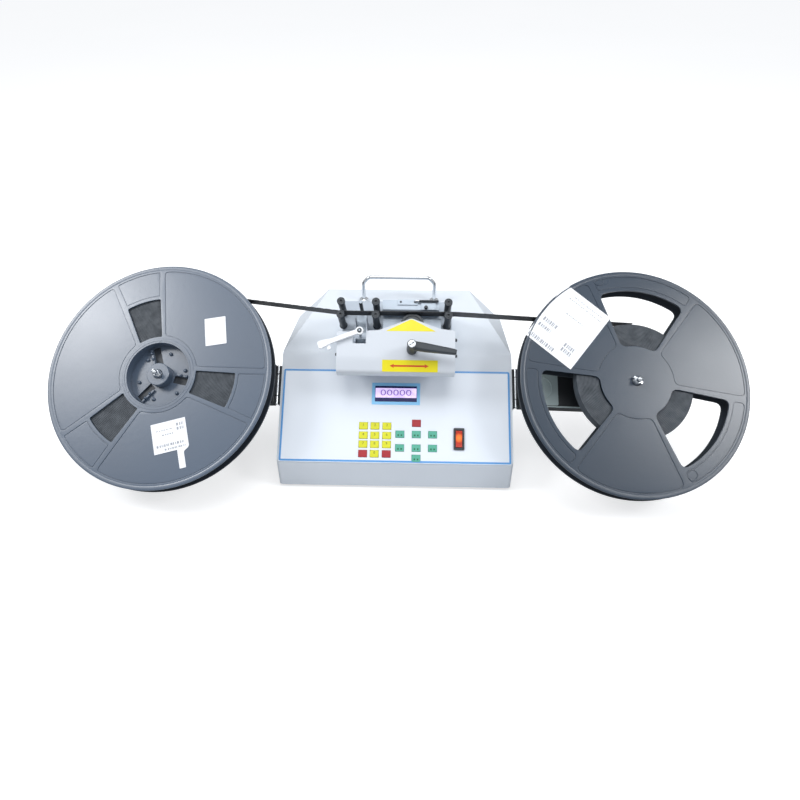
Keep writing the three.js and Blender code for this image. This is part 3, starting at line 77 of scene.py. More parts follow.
LIP_TOP = 0.05

Mesh = bpy.types.Mesh
Socket = bpy.types.NodeSocket
Point = tuple[float, float]
Stops = tuple[tuple[float, float], ...]


def rgba(code: str) -> tuple[float, ...]:
    """Turn a screen colour of six hexadecimal digits into linear red, green, blue and alpha."""
    values = [int(code[place:place + 2], 16) / 255 for place in (0, 2, 4)]
    return (*(v / 12.92 if v <= 0.04045 else ((v + 0.055) / 1.055) ** 2.4 for v in values), 1.0)


# Axes

@dataclass(frozen=True)
class Axes:
    """Axes of a sub-assembly in the frame, in which its own sizes are given in millimetres."""

    origin: Vector
    across: Vector
    along: Vector
    out: Vector

    @property
    def matrix(self) -> Matrix:
        """The place of these axes, without a scale."""
        turn = Matrix((self.across, self.along, self.out)).transposed().to_4x4()
        return Matrix.Translation(self.origin) @ turn

    @property
    def from_mm(self) -> Matrix:
        """The way from millimetres in these axes to metres in the frame."""
        return self.matrix @ Matrix.Diagonal((MM, MM, MM, 1))

    def box_of(self, node: str) -> tuple[Vector, Vector]:
        """Measure a CAD node along these axes.

        Args:
            node: Name of the CAD node.

        Returns:
            Its lowest and highest corner in millimetres.
        """
        back = self.from_mm.inverted()
        places = [back @ vertex.co for vertex in frame["nodes"][node].data.vertices]
        low = Vector([min(place[axis] for place in places) for axis in range(3)])
        high = Vector([max(place[axis] for place in places) for axis in range(3)])
        return low, high


def middle_of(low: Vector, high: Vector) -> Point:
    """Return the middle of a box, seen along its third axis."""
    return (low.x + high.x) / 2, (low.y + high.y) / 2


def joint(name: str) -> dict:
    """Find a joint of the record by its name."""
    return next(row for row in frame["joints"] if row["name"] == name)


def slope_axes() -> Axes:
    """Build the axes of the sloped front.

    Returns:
        Axes to the right, up the slope and out of it, from the top of the front lip.
    """
    out = -Vector(joint("number_key_1_1_press")["axis"])
    across = Vector((1, 0, 0))
    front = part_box("case_shell")[0].y
    return Axes(Vector((0, front, LIP_TOP)), across, out.cross(across), out)


def joint_axes(name: str) -> Axes:
    """Build axes at a joint.

    Args:
        name: Name of the joint.

    Returns:
        Axes from the joint's place, with its own axis pointing out.
    """
    row = joint(name)
    out = Vector(row["axis"]).normalized()
    across = (Vector((1, 0, 0)) - out * out.x).normalized()
    return Axes(Vector(row["pos_m"]), across, out.cross(across), out)


SLOPE = slope_axes()
WORLD = Axes(Vector((0, 0, 0)), Vector((1, 0, 0)), Vector((0, 1, 0)), Vector((0, 0, 1)))
STAND_UP = Matrix(((1, 0, 0), (0, 0, 1), (0, 1, 0)))


# Shader node groups

SOCKET_KINDS = {"Vector": "Vector", "Color": "Color", "Second": "Color", "Dust_shade": "Color"}
CLOUD_DETAIL = 4.0
CLOUD_STOPS = ((0.3, 0.0), (0.7, 1.0))
WAVE_SCALE = 0.12
# Occlusion samples and speckle size of the painted corner shade.
CORNER_SHADE_SAMPLES = 6
CORNER_SPECKLE_SCALE = 160.0
CORNER_SPECKLE_DETAIL = 3.0


class Nodes:
    """A node tree that is filled by short calls."""

    def __init__(self, tree: bpy.types.NodeTree) -> None:
        """Take the tree to fill.

        Args:
            tree: A material's, group's or modifier's node tree.
        """
        self.tree = tree

    def take(self, sockets: object, links: dict) -> None:
        """Give sockets what they take.

        Args:
            sockets: The sockets, by name or number.
            links: For each name or number, the socket or the value that it takes.
        """
        for name, value in links.items():
            if isinstance(value, Socket):
                self.tree.links.new(value, sockets[name])
            else:
                sockets[name].default_value = value

    def add(self, kind: str, links: dict | None = None, **settings: object) -> bpy.types.Node:
        """Add a node.

        Args:
            kind: Blender's name for the type of node.
            links: For each input name or number, the socket or the value that it takes.
            settings: Properties of the node itself.

        Returns:
            The new node.
        """
        node = self.tree.nodes.new(kind)
        for name, value in settings.items():
            setattr(node, name, value)
        self.take(node.inputs, links or {})
        return node

    def effect(self, name: str, links: dict) -> dict:
        """Add a shader node group and return its outputs."""
        return self.add("ShaderNodeGroup", links, node_tree=GROUPS[name]).outputs

    def maths(self, operation: str, *values: object) -> Socket:
        """Add a Math node and return its result."""
        return self.add("ShaderNodeMath", dict(enumerate(values)), operation=operation).outputs[0]

    def noise(self, place: object, scale: object, detail: float = 2.0) -> Socket:
        """Add a noise texture and return its grey."""
        links = {"Vector": place, "Scale": scale, "Detail": detail}
        return self.add("ShaderNodeTexNoise", links).outputs[0]

    def seen(self) -> Socket:
        """Return 1 on rays from the camera, also through clear things, and 0 on others."""
        path = self.add("ShaderNodeLightPath").outputs
        return self.maths("MAXIMUM", path["Is Camera Ray"], path["Is Transmission Ray"])

    def blend(self, share: object, first: object, second: object) -> Socket:
        """Mix two colours by the share of the second and return the result."""
        node = self.add("ShaderNodeMix", {0: share, 6: first, 7: second}, data_type="RGBA")
        return node.outputs[2]

    def ramp(self, value: object, stops: Stops) -> Socket:
        """Turn a value into another through a ramp of greys.

        Args:
            value: Socket of the value.
            stops: Place and grey of each stop.

        Returns:
            The ramp's colour socket.
        """
        node = self.add("ShaderNodeValToRGB", {0: value})
        elements = node.color_ramp.elements
        while len(elements) < len(stops):
            elements.new(0.5)
        for element, (place, grey) in zip(elements, stops):
            element.position = place
            element.color = (grey, grey, grey, 1)
        return node.outputs[0]


def group(name: str, inputs: Sequence[str], outputs: Sequence[str],
          fill: Callable[[Nodes, dict, dict], None]) -> bpy.types.NodeTree:
    """Make a shader node group once.

    Args:
        name: Name of the group.
        inputs: Names of its inputs.
        outputs: Names of its outputs.
        fill: Function that adds the nodes, given the tree, its input sockets and its output sockets.

    Returns:
        The group.
    """
    tree = bpy.data.node_groups.new(name, "ShaderNodeTree")
    for way, labels in (("INPUT", inputs), ("OUTPUT", outputs)):
        for label in labels:
            kind = "NodeSocket" + SOCKET_KINDS.get(label, "Float")
            tree.interface.new_socket(label, in_out=way, socket_type=kind)
    nodes = Nodes(tree)
    fill(nodes, nodes.add("NodeGroupInput").outputs, nodes.add("NodeGroupOutput").inputs)
    return tree


def fill_tone(nodes: Nodes, start: dict, end: dict) -> None:
    """Vary a colour and a gloss in clouds, as handling and moulding leave them.

    Args:
        nodes: The group's tree.
        start: Sockets of the group's inputs.
        end: Sockets of the group's outputs.
    """
    clouds = nodes.ramp(nodes.noise(start["Vector"], start["Scale"], CLOUD_DETAIL), CLOUD_STOPS)
    share = nodes.maths("MULTIPLY", clouds, start["Depth"])
    nodes.take(end, {
        "Color": nodes.blend(share, start["Color"], start["Second"]),
        "Roughness": nodes.maths("MULTIPLY_ADD", clouds, start["Gloss"], start["Roughness"]),
    })


def fill_grain(nodes: Nodes, start: dict, end: dict) -> None:
    """Make the fine height of a coat or a moulded skin, with a coarser wave below it.

    Args:
        nodes: The group's tree.
        start: Sockets of the group's inputs.
        end: Sockets of the group's outputs.
    """
    fine = nodes.noise(start["Vector"], start["Scale"])
    coarse = nodes.noise(start["Vector"], nodes.maths("MULTIPLY", start["Scale"], WAVE_SCALE))
    nodes.take(end, {"Height": nodes.maths("MULTIPLY_ADD", coarse, start["Wave"], fine)})


def fill_dust_and_shade(nodes: Nodes, start: dict, end: dict) -> None:
    """Darken a colour in corners and hollows by ambient occlusion, broken up by a speckle: painted shade,
    speckled like dust.

    Args:
        nodes: The group's tree.
        start: Sockets of the group's inputs.
        end: Sockets of the group's outputs.
    """
    reach = {"Distance": start["Distance"]}
    # The occlusion finds where shade falls, and the colour is painted darker there in a speckle like dust.
    hollow = nodes.add("ShaderNodeAmbientOcclusion", reach, samples=CORNER_SHADE_SAMPLES)
    shade = nodes.maths("SUBTRACT", 1.0, hollow.outputs["AO"])
    speckle = nodes.noise(start["Vector"], CORNER_SPECKLE_SCALE, CORNER_SPECKLE_DETAIL)
    mask = nodes.maths("MULTIPLY", shade, nodes.maths("MULTIPLY", speckle, start["Amount"]))
    nodes.take(end, {"Color": nodes.blend(mask, start["Color"], start["Dust_shade"])})


GROUPS = {
    "tone": group("tone", ("Vector", "Scale", "Color", "Second", "Depth", "Roughness", "Gloss"),
                  ("Color", "Roughness"), fill_tone),
    "grain": group("grain", ("Vector", "Scale", "Wave"), ("Height",), fill_grain),
    "dust_and_shade": group("dust_and_shade", ("Vector", "Color", "Dust_shade", "Amount", "Distance"), ("Color",), fill_dust_and_shade),
}


# Finishes

@dataclass(frozen=True)
class Finish:
    """A finish of one kind of surface, made into a material once."""

    name: str
    slot: str
    colour: str
    second: str
    roughness: float = 0.5
    gloss_change: float = 0.05
    tone_scale: float = 30.0
    tone_depth: float = 0.5
    grain_scale: float = 1500.0
    grain_depth: float = 0.04
    grain_wave: float = 1.0
    metallic: float = 0.0
    coat: float = 0.0
    coat_roughness: float = 0.12
    # Painted shade in corners and hollows from ambient occlusion, speckled like dust: its share, colour and
    # reach.
    dust_and_shade: float = 0.0
    dust_and_shade_colour: str = "8d8f92"
    dust_and_shade_reach: float = 0.006
    specular: float = 0.5
    glow: float = 0.0
    bump_distance: float = 0.0005

    def material(self) -> bpy.types.Material:
        """Find the material of this finish, or build it at the first call.

        Returns:
            The material.
        """
        found = bpy.data.materials.get(self.name)
        if found:
            return found
        material = bpy.data.materials.new(self.name)
        material.use_nodes = True
        self.dress(Nodes(material.node_tree), material.node_tree.nodes["Principled BSDF"].inputs)
        return material

    def dress(self, nodes: Nodes, shader: object) -> None:
        """Join the colour, gloss and height of this finish to its shader.

        Args:
            nodes: The material's node tree.
            shader: Inputs of its Principled BSDF.
        """
        place = nodes.add("ShaderNodeTexCoord").outputs["Object"]
        tone = nodes.effect("tone", {
            "Vector": place, "Scale": self.tone_scale, "Color": rgba(self.colour),
            "Second": rgba(self.second), "Depth": self.tone_depth, "Roughness": self.roughness,
            "Gloss": self.gloss_change,
        })
        colour = self.decorate(nodes, place, tone["Color"])
        # Painted shade: corners and hollows take the darker colour by ambient occlusion, in a speckle like
        # dust.
        if self.dust_and_shade:
            colour = nodes.effect("dust_and_shade", {
                "Amount": self.dust_and_shade, "Distance": self.dust_and_shade_reach, "Dust_shade": rgba(self.dust_and_shade_colour),
                "Vector": place, "Color": colour,
            })["Color"]
        grain = nodes.effect("grain", {"Scale": self.grain_scale, "Wave": self.grain_wave, "Vector": place})
        bump = nodes.add("ShaderNodeBump", {
            "Strength": self.grain_depth, "Distance": self.bump_distance, "Height": grain["Height"],
        })
        nodes.take(shader, {
            "Base Color": colour, "Roughness": tone["Roughness"], "Normal": bump.outputs[0],
            "Metallic": self.metallic, "Specular IOR Level": self.specular, "Coat Weight": self.coat,
            "Coat Roughness": self.coat_roughness, "Emission Strength": self.glow,
        })
        if self.glow:
            nodes.take(shader, {"Emission Color": self.lit(nodes, place, colour)})

    def decorate(self, nodes: Nodes, place: Socket, colour: Socket) -> Socket:
        """Change the colour where a finish has more than its tone; a plain finish leaves it."""
        return colour

    def lit(self, nodes: Nodes, place: Socket, colour: Socket) -> Socket:
        """Return the colour that the finish glows in; a plain one glows in its own."""
        return colour


@dataclass(frozen=True)
class Lamp(Finish):
    """Clear plastic with a small lamp behind it, which glows round one place on the slope."""

    spot: tuple[float, float, float] = (0.0, 0.0, 0.0)
    reach: float = 9.0
    light: str = "ff9a3c"
    fall: Stops = ((0.0, 1.0), (0.3, 0.7), (1.0, 0.0))

    def lit(self, nodes: Nodes, place: Socket, colour: Socket) -> Socket:
        """Let the glow fall off from the lamp's place.

        Args:
            nodes: The material's node tree.
            place: Socket of the place on the surface.
            colour: Socket of the surface's own colour, which doesn't tint the lamp.

        Returns:
            The glow's colour socket.
        """
        middle = tuple(SLOPE.from_mm @ Vector(self.spot))
        away = nodes.add("ShaderNodeVectorMath", {0: place, 1: middle}, operation="DISTANCE")
        share = nodes.maths("DIVIDE", away.outputs["Value"], self.reach * MM)
        return nodes.blend(nodes.ramp(share, self.fall), (0, 0, 0, 1), rgba(self.light))


@dataclass(frozen=True)
class Brushed(Finish):
    """Bare metal with fine lines along one way."""

    line_scale: tuple[float, float, float] = (4.0, 900.0, 900.0)
    line_detail: float = 3.0
    line_stops: Stops = ((0.4, 0.0), (0.7, 0.5))

    def decorate(self, nodes: Nodes, place: Socket, colour: Socket) -> Socket:
        """Draw the lines of the brush as darker streaks.

        Args:
            nodes: The material's node tree.
            place: Socket of the place on the surface.
            colour: Socket of the colour between the lines.

        Returns:
            The streaked colour's socket.
        """
        stretched = nodes.add("ShaderNodeMapping", {"Vector": place, "Scale": self.line_scale})
        lines = nodes.noise(stretched.outputs[0], 1.0, self.line_detail)
        return nodes.blend(nodes.ramp(lines, self.line_stops), colour, rgba(self.second))


PALE_COAT = Finish("pale_powder_coat", "pale_coat", "d9e0e8", "ced6e0", 0.46, 0.1, 5.0, 0.45, 2200.0, 0.12,
                   1.2, dust_and_shade=0.25)
SHEET = Finish("grey_sheet_coat", "grey_sheet", "b3bdc8", "a3adb9", 0.42, 0.1, 14.0, 0.5, 1800.0, 0.08,
               metallic=0.15, dust_and_shade=0.4)
FILM = Finish("printed_panel_film", "panel_film", "e4ebf4", "dce4ef", 0.32, tone_scale=4.0, tone_depth=0.4,
              grain_scale=3000.0, grain_depth=0.03, coat=0.2)
LABEL = Finish("plain_paper_label", "panel_film", "eff1f5", "e6e9ee", grain_scale=2500.0, grain_depth=0.05)
PRINT = replace(LABEL, name="faint_grey_print", colour="8d929b", second="a3a7af", roughness=0.55,
                tone_scale=400.0, tone_depth=0.8, grain_depth=0.04)
KEY = Finish("yellow_key_plastic", "key_yellow", "dadb28", "cccb1c", 0.42, 0.08, 60.0, 0.6, grain_depth=0.08)
KEY_PRINT = Finish("dark_key_print", "key_yellow", "5f5a28", "4a4622", tone_scale=200.0, grain_depth=0.05)
MOULDED = Finish("black_moulded_plastic", "black_plastic", "2c3238", "3a4148", 0.38, 0.12, 40.0, 0.6, 1700.0,
                 0.12, dust_and_shade=0.3)
WINDOW = Finish("display_window", "display_glass", "2b2f6b", "232757", 0.12, 0.03, 60.0, grain_depth=0.01)
# Its dark dust colour paints shade into the reel's hollows.
REEL = Finish("blue_grey_reel_plastic", "reel_left_plastic", "4d5c6f", "435163", 0.29, 0.06, 5.0, 0.8, 1100.0,
              0.06, 2.0, dust_and_shade=0.5, dust_and_shade_colour="2b323c", specular=1.0)
TAPE = Finish("black_carrier_tape", "tape_plastic", "24272b", "33373c", 0.42, 0.15, 60.0, 0.7, 1300.0, 0.15)


class Finishes(Enum):
    """The finishes of the counter, by what they are on."""

    CASE = PALE_COAT
    # The case's own coat, drawn darker on the cover: painted shade.
    COVER = replace(PALE_COAT, name="cover_coat_painted_shade", slot="white_coat", colour="cbd1d9", second="c1c8d1",
                    roughness=0.42, gloss_change=0.08, tone_scale=6.0, tone_depth=0.4, grain_depth=0.1)
    GREY_SHEET = SHEET
    RAIL = replace(SHEET, name="grey_blue_rail_coat", colour="b6c2ce", second="a7b4c2", roughness=0.36,
                   tone_scale=18.0, grain_depth=0.06, metallic=0.2)
    # A pale colour on the dark arm, standing for the sky's reflection seen through the reel's window: painted
    # reflection.
    ARM_FACE_REFLECTION = replace(SHEET, name="arm_face_painted_reflection", colour="b3c3c4", second="9fb0b2", roughness=0.34,
                       metallic=0.0, dust_and_shade=0.3)
    FILM = FILM
    FRAME_LINE = replace(FILM, name="printed_blue_line", colour="5f9edb", second="5190cf", roughness=0.34,
                         tone_scale=30.0, tone_depth=0.5, coat=0.0)
    LABEL = LABEL
    LABEL_PRINT = PRINT
    YELLOW_LABEL = replace(LABEL, name="yellow_label", colour="e8dc16", second="ddce10", roughness=0.38,
                           grain_depth=0.04)
    RED_PRINT = replace(LABEL, name="red_print", colour="cf4a1c", second="b83c18", roughness=0.45,
                        tone_scale=60.0, grain_depth=0.04)
    KEY_YELLOW = KEY
    KEY_RED = replace(KEY, name="red_key_plastic", slot="key_red", colour="ad2a32", second="982229")
    KEY_GREEN = replace(KEY, name="green_key_plastic", slot="key_green", colour="5ab09a", second="48a088")
    KEY_PRINT = KEY_PRINT
    KEY_MARK = replace(KEY_PRINT, name="dark_green_print", slot="key_green", colour="1d6b4d", second="175a40")
    BLACK = MOULDED
    DRUM = replace(MOULDED, name="black_drum_plastic", colour="2b3136", second="3a4147", roughness=0.34,
                   gloss_change=0.1, grain_depth=0.1, dust_and_shade=0.0)
    RUBBER = Finish("black_rubber", "black_plastic", "25272a", "303338", 0.75, 0.08, 60.0, 0.6, 900.0, 0.25)
    BLACK_COAT = Finish("black_sheet_coat", "black_coat", "1d2024", "2a2e33", 0.42, 0.12, 20.0, 0.6, 1600.0,
                        0.12, dust_and_shade=0.3)
    CHROME = Brushed("polished_chrome", "chrome", "eceef0", "c3c7cc", 0.16, 0.08, 20.0, grain_depth=0.02,
                     metallic=1.0)
    STEEL = Brushed("machined_steel", "bright_steel", "dfe2e5", "aeb4ba", 0.26, 0.12, tone_depth=0.6,
                    metallic=1.0)
    WHITE_PLASTIC = Finish("white_lever_plastic", "white_plastic", "eceff3", "e2e6eb", 0.36, 0.06, 20.0, 0.4,
                           grain_depth=0.05, dust_and_shade=0.2)
    LIT_RED = Lamp("lit_rocker_plastic", "lit_red", "c4341f", "a82512", 0.26, 0.06, 60.0, 0.6, coat=0.4,
                   glow=1.2, spot=(93.0, 38.5, 5.0), reach=7.5)
    DISPLAY_FRAME = Finish("blue_display_frame", "display_glass", "92d4ff", "86c9fa", 0.34,
                           grain_scale=2500.0, grain_depth=0.03)
    GLASS = WINDOW
    LCD_BAND = replace(WINDOW, name="lit_display_band", colour="e6d2fa", second="cdb6f0", roughness=0.2,
                       tone_scale=120.0, tone_depth=1.0, glow=0.75)
    LCD_MARK = replace(WINDOW, name="violet_display_digits", colour="b090e2", second="a182d8", roughness=0.2,
                       tone_scale=90.0, tone_depth=0.8, glow=0.1)
    REEL_LEFT = REEL
    REEL_RIGHT = replace(REEL, name="dark_reel_plastic", slot="reel_right_plastic", colour="33404f",
                         second="2b3745", roughness=0.26, dust_and_shade_colour="1f2833", specular=0.6)
    # The back flange and the floor behind the hub: the reel's own plastic, drawn darker as painted shade.
    REEL_BACK_SHADE = Finish("reel_back_painted_shade", "black_plastic", "2b323b", "232930", 0.4, 0.1, 6.0, 0.7,
                       1100.0, 0.08, 2.0, dust_and_shade=0.3)
    TAPE = TAPE
    WINDING = replace(TAPE, name="wound_tape_edge", colour="474e56", second="343a41", roughness=0.5,
                      tone_scale=90.0, tone_depth=0.8)
    BOARD = Finish("green_board_mask", "board_green", "2c6b45", "22563a", 0.4, 0.1, 60.0, 0.6,
                   grain_depth=0.06)

    @property
    def material(self) -> bpy.types.Material:
        """The material of this finish."""
        return self.value.material()

    @property
    def slot(self) -> str:
        """The record's slot of this finish."""
        return self.value.slot


# Outlines in millimetres

def rounded(points: Sequence[Sequence[float]], radius: float = 0.0, steps: int = 5) -> list[Point]:
    """Round the corners of a closed outline.

    Args:
        points: Corners in order, each with its own radius as a third number where it has one.
        radius: Radius of the corners that name none.
        steps: Pieces of each round.

    Returns:
        The points of the rounded outline.
    """
    line = []
    for index, point in enumerate(points):
        corner = Vector(point[:2])
        before = Vector(points[index - 1][:2]) - corner
        after = Vector(points[(index + 1) % len(points)][:2]) - corner
        size = point[2] if len(point) > 2 else radius
        reach = min(size, before.length / 2, after.length / 2)
        if reach <= 0:
            line.append(tuple(corner))
            continue
        enter = corner + before.normalized() * reach
        leave = corner + after.normalized() * reach
        line += bend(enter, corner, leave, steps)
    return line


def bend(enter: Vector, corner: Vector, leave: Vector, steps: int = 5) -> list[Point]:
    """Lead a round from one place to another past a corner.

    Args:
        enter: Where it starts.
        corner: The corner that it stays inside.
        leave: Where it ends.
        steps: Its pieces.

    Returns:
        The points of the round.
    """
    shares = [step / steps for step in range(steps + 1)]
    places = [enter * (1 - t) ** 2 + corner * 2 * t * (1 - t) + leave * t ** 2 for t in shares]
    return [(place.x, place.y) for place in places]


def rectangle(width: float, height: float, x: float = 0.0, y: float = 0.0) -> list[Point]:
    """Return the corners of a rectangle round a middle."""
    return [(x + side * width / 2, y + up * height / 2) for side, up in ((-1, -1), (1, -1), (1, 1), (-1, 1))]


def circle(radius: float, count: int, x: float = 0.0, y: float = 0.0) -> list[Point]:
    """Return the points of a circle round a middle."""
    turns = [math.tau * step / count for step in range(count)]
    return [(x + radius * math.cos(turn), y + radius * math.sin(turn)) for turn in turns]


def set_down(line: Iterable[Point], degrees: float, x: float = 0.0, y: float = 0.0) -> list[Point]:
    """Turn an outline about its own origin and move it to a place."""
    cosine, sine = math.cos(math.radians(degrees)), math.sin(math.radians(degrees))
    return [(x + u * cosine - v * sine, y + u * sine + v * cosine) for u, v in line]


def double_arrow(length: float, shaft: float, head: float) -> list[Point]:
    """Draw an arrow with two heads along x, round its middle.

    Args:
        length: From end to end.
        shaft: Width of its shaft.
        head: Width of each head, which is as long as it is wide.

    Returns:
        Its outline.
    """
    half = length / 2
    tip = [(half - head, -shaft / 2), (half - head, -head / 2), (half, 0), (half - head, head / 2),
           (half - head, shaft / 2)]
    return tip + [(-x, -y) for x, y in tip]


@dataclass(frozen=True)
class Sector:
    """A piece of a ring between two radii, such as a window or a raised field of a reel."""

    inner: float
    outer: float
    middle: float
    inner_half: float
    outer_half: float
    corner: float
    least_corner: float = 0.4
    steps: int = 30

    def outline(self, inset: float = 0.0) -> list[Point]:
        """Draw the sector with round corners.

        Args:
            inset: How far inside its own edge the line runs.

        Returns:
            The points of the line.
        """
        inner, outer = self.inner + inset, self.outer - inset
        low = math.radians(self.inner_half) - math.asin(inset / inner)
        high = math.radians(self.outer_half) - math.asin(inset / outer)
        middle = math.radians(self.middle)
        corner = max(self.corner - inset, self.least_corner)

        def polar(radius: float, turn: float) -> Vector:
            """Return a place by its radius and its turn from the middle."""
            return Vector((radius * math.cos(middle + turn), radius * math.sin(middle + turn)))

        def arc(radius: float, half: float) -> list[Point]:
            """Draw the free part of an arc.

            Args:
                radius: Its radius.
                half: Half of its whole turn, with its corners.

            Returns:
                Its points, from the right end to the left.
            """
            free = half - corner / radius
            shares = [2 * step / self.steps - 1 for step in range(1, self.steps)]
            places = [polar(radius, free * share) for share in shares]
            return [(place.x, place.y) for place in places]

        line = []
        for side in (-1, 1):
            near, far = polar(inner, side * low), polar(outer, side * high)
            along = (far - near).normalized() * corner
            foot = bend(polar(inner, side * (low - corner / inner)), near, near + along)
            head = bend(far - along, far, polar(outer, side * (high - corner / outer)))
            line += foot + head + arc(outer, high) if side < 0 else head[::-1] + foot[::-1]
        return line + arc(inner, low)[::-1]


# Meshes in millimetres

MERGE_REACH = 1e-4
LETTER_STEPS = 3
PLATE_EDGE_STEPS = 1


def placed(name: str, data: bpy.types.ID) -> bpy.types.Object:
    """Put data into the scene as an object.

    Args:
        name: Name of the object.
        data: Its mesh, curve, lamp or lens.

    Returns:
        The object.
    """
    item = bpy.data.objects.new(name, data)
    bpy.context.scene.collection.objects.link(item)
    return item


def mesh_of(data: bpy.types.ID) -> Mesh:
    """Turn a curve or a text into a mesh and drop it.

    Args:
        data: The curve or text.

    Returns:
        The mesh.
    """
    holder = placed("holder", data)
    graph = bpy.context.evaluated_depsgraph_get()
    mesh = bpy.data.meshes.new_from_object(holder.evaluated_get(graph))
    bpy.data.objects.remove(holder)
    bpy.data.curves.remove(data)
    return mesh


def plate(loops: Sequence[Iterable[Point]], low: float, high: float, edge: float = 0.0) -> Mesh:
    """Make a flat plate with holes.

    Args:
        loops: Its outline, then the outlines of its holes.
        low: Height of its under side.
        high: Height of its top.
        edge: Width of the round along all its edges.

    Returns:
        The plate's mesh.
    """
    curve = bpy.data.curves.new("plate", "CURVE")
    curve.dimensions = "2D"
    curve.fill_mode = "BOTH"
    curve.extrude = (high - low) / 2 - edge
    curve.bevel_depth = edge
    curve.bevel_resolution = PLATE_EDGE_STEPS
    curve.offset = -edge
    for loop in loops:
        draw(curve, [(x, y, 0.0) for x, y in loop], True)
    mesh = mesh_of(curve)
    mesh.transform(Matrix.Translation((0, 0, (low + high) / 2)))
    return mesh


def draw(curve: bpy.types.Curve, points: Sequence[Sequence[float]], closed: bool) -> None:
    """Add a line of straight pieces to a curve.

    Args:
        curve: The curve.
        points: Places of the line's points.
        closed: Whether the line's ends meet.
    """
    spline = curve.splines.new("POLY")
    spline.points.add(len(points) - 1)
    for point, place in zip(spline.points, points):
        point.co = (*place, 1)
    spline.use_cyclic_u = closed


def tube(points: Sequence[Sequence[float]], radius: float, closed: bool = False, steps: int = 4) -> Mesh:
    """Sweep a round rod along a line.

    Args:
        points: Places of its middle.
        radius: Its radius.
        closed: Whether its ends meet.
        steps: Pieces of a quarter of its section, less one.

    Returns:
        The rod's mesh.
    """
    curve = bpy.data.curves.new("tube", "CURVE")
    curve.dimensions = "3D"
    curve.bevel_depth = radius
    curve.bevel_resolution = steps
    curve.use_fill_caps = not closed
    draw(curve, points, closed)
    return mesh_of(curve)


def turned(profile: Sequence[Point], segments: int, x: float = 0.0, y: float = 0.0) -> Mesh:
    """Turn a profile about an upright axis.

    Args:
        profile: Radius and height of each point; it starts and ends on the axis, or closes on itself.
        segments: Faces round the axis.
        x: Place of the axis.
        y: Place of the axis.

    Returns:
        The turned body.
    """
    work = bmesh.new()
    rings = []
    for radius, height in profile:
        count = segments if radius > 0 else 1
        rings.append([work.verts.new((px, py, height)) for px, py in circle(radius, count, x, y)])
    closes = profile[0][0] > 0
    for lower, upper in zip(rings, rings[1:] + rings[:1] if closes else rings[1:]):
        for step in range(segments):
            here, ahead = step, step + 1
            corners = [lower[here % len(lower)], lower[ahead % len(lower)],
                       upper[ahead % len(upper)], upper[here % len(upper)]]
            work.faces.new(list(dict.fromkeys(corners)))
    return closed_mesh(work)


def closed_mesh(work: bmesh.types.BMesh) -> Mesh:
    """Merge what meets and point all faces outwards.

    Args:
        work: The faces, which are dropped.

    Returns:
        Their mesh.
    """
    bmesh.ops.remove_doubles(work, verts=work.verts, dist=MERGE_REACH)
    bmesh.ops.recalc_face_normals(work, faces=work.faces)
    mesh = bpy.data.meshes.new("form")
    work.to_mesh(mesh)
    work.free()
    return mesh


def written(text: str, size: float, low: float, high: float, x: float, y: float) -> Mesh:
    """Make plain digits as a thin print.

    Args:
        text: The digits.
        size: Height of the type.
        low: Height of its under side.
        high: Height of its face.
        x: Middle of the text.
        y: Middle of the text.

    Returns:
        The print's mesh.
    """
    font = bpy.data.curves.new("print", "FONT")
    font.body = text
    font.size = size
    font.align_x = "CENTER"
    font.align_y = "CENTER"
    font.extrude = (high - low) / 2
    font.resolution_u = LETTER_STEPS
    mesh = mesh_of(font)
    mesh.transform(Matrix.Translation((x, y, (low + high) / 2)))
    return mesh


def moved(mesh: Mesh, x: float = 0.0, y: float = 0.0, z: float = 0.0, turn: Matrix | None = None) -> Mesh:
    """Turn a mesh about its origin and then move it."""
    mesh.transform(Matrix.Translation((x, y, z)) @ (turn.to_4x4() if turn else Matrix()))
    return mesh


def joined(meshes: Sequence[Mesh]) -> Mesh:
    """Put meshes into one.

    Args:
        meshes: The meshes, which are dropped.

    Returns:
        The one mesh.
    """
    work = bmesh.new()
    for mesh in meshes:
        work.from_mesh(mesh)
    for mesh in meshes:
        bpy.data.meshes.remove(mesh)
    return closed_mesh(work)


# Patterns

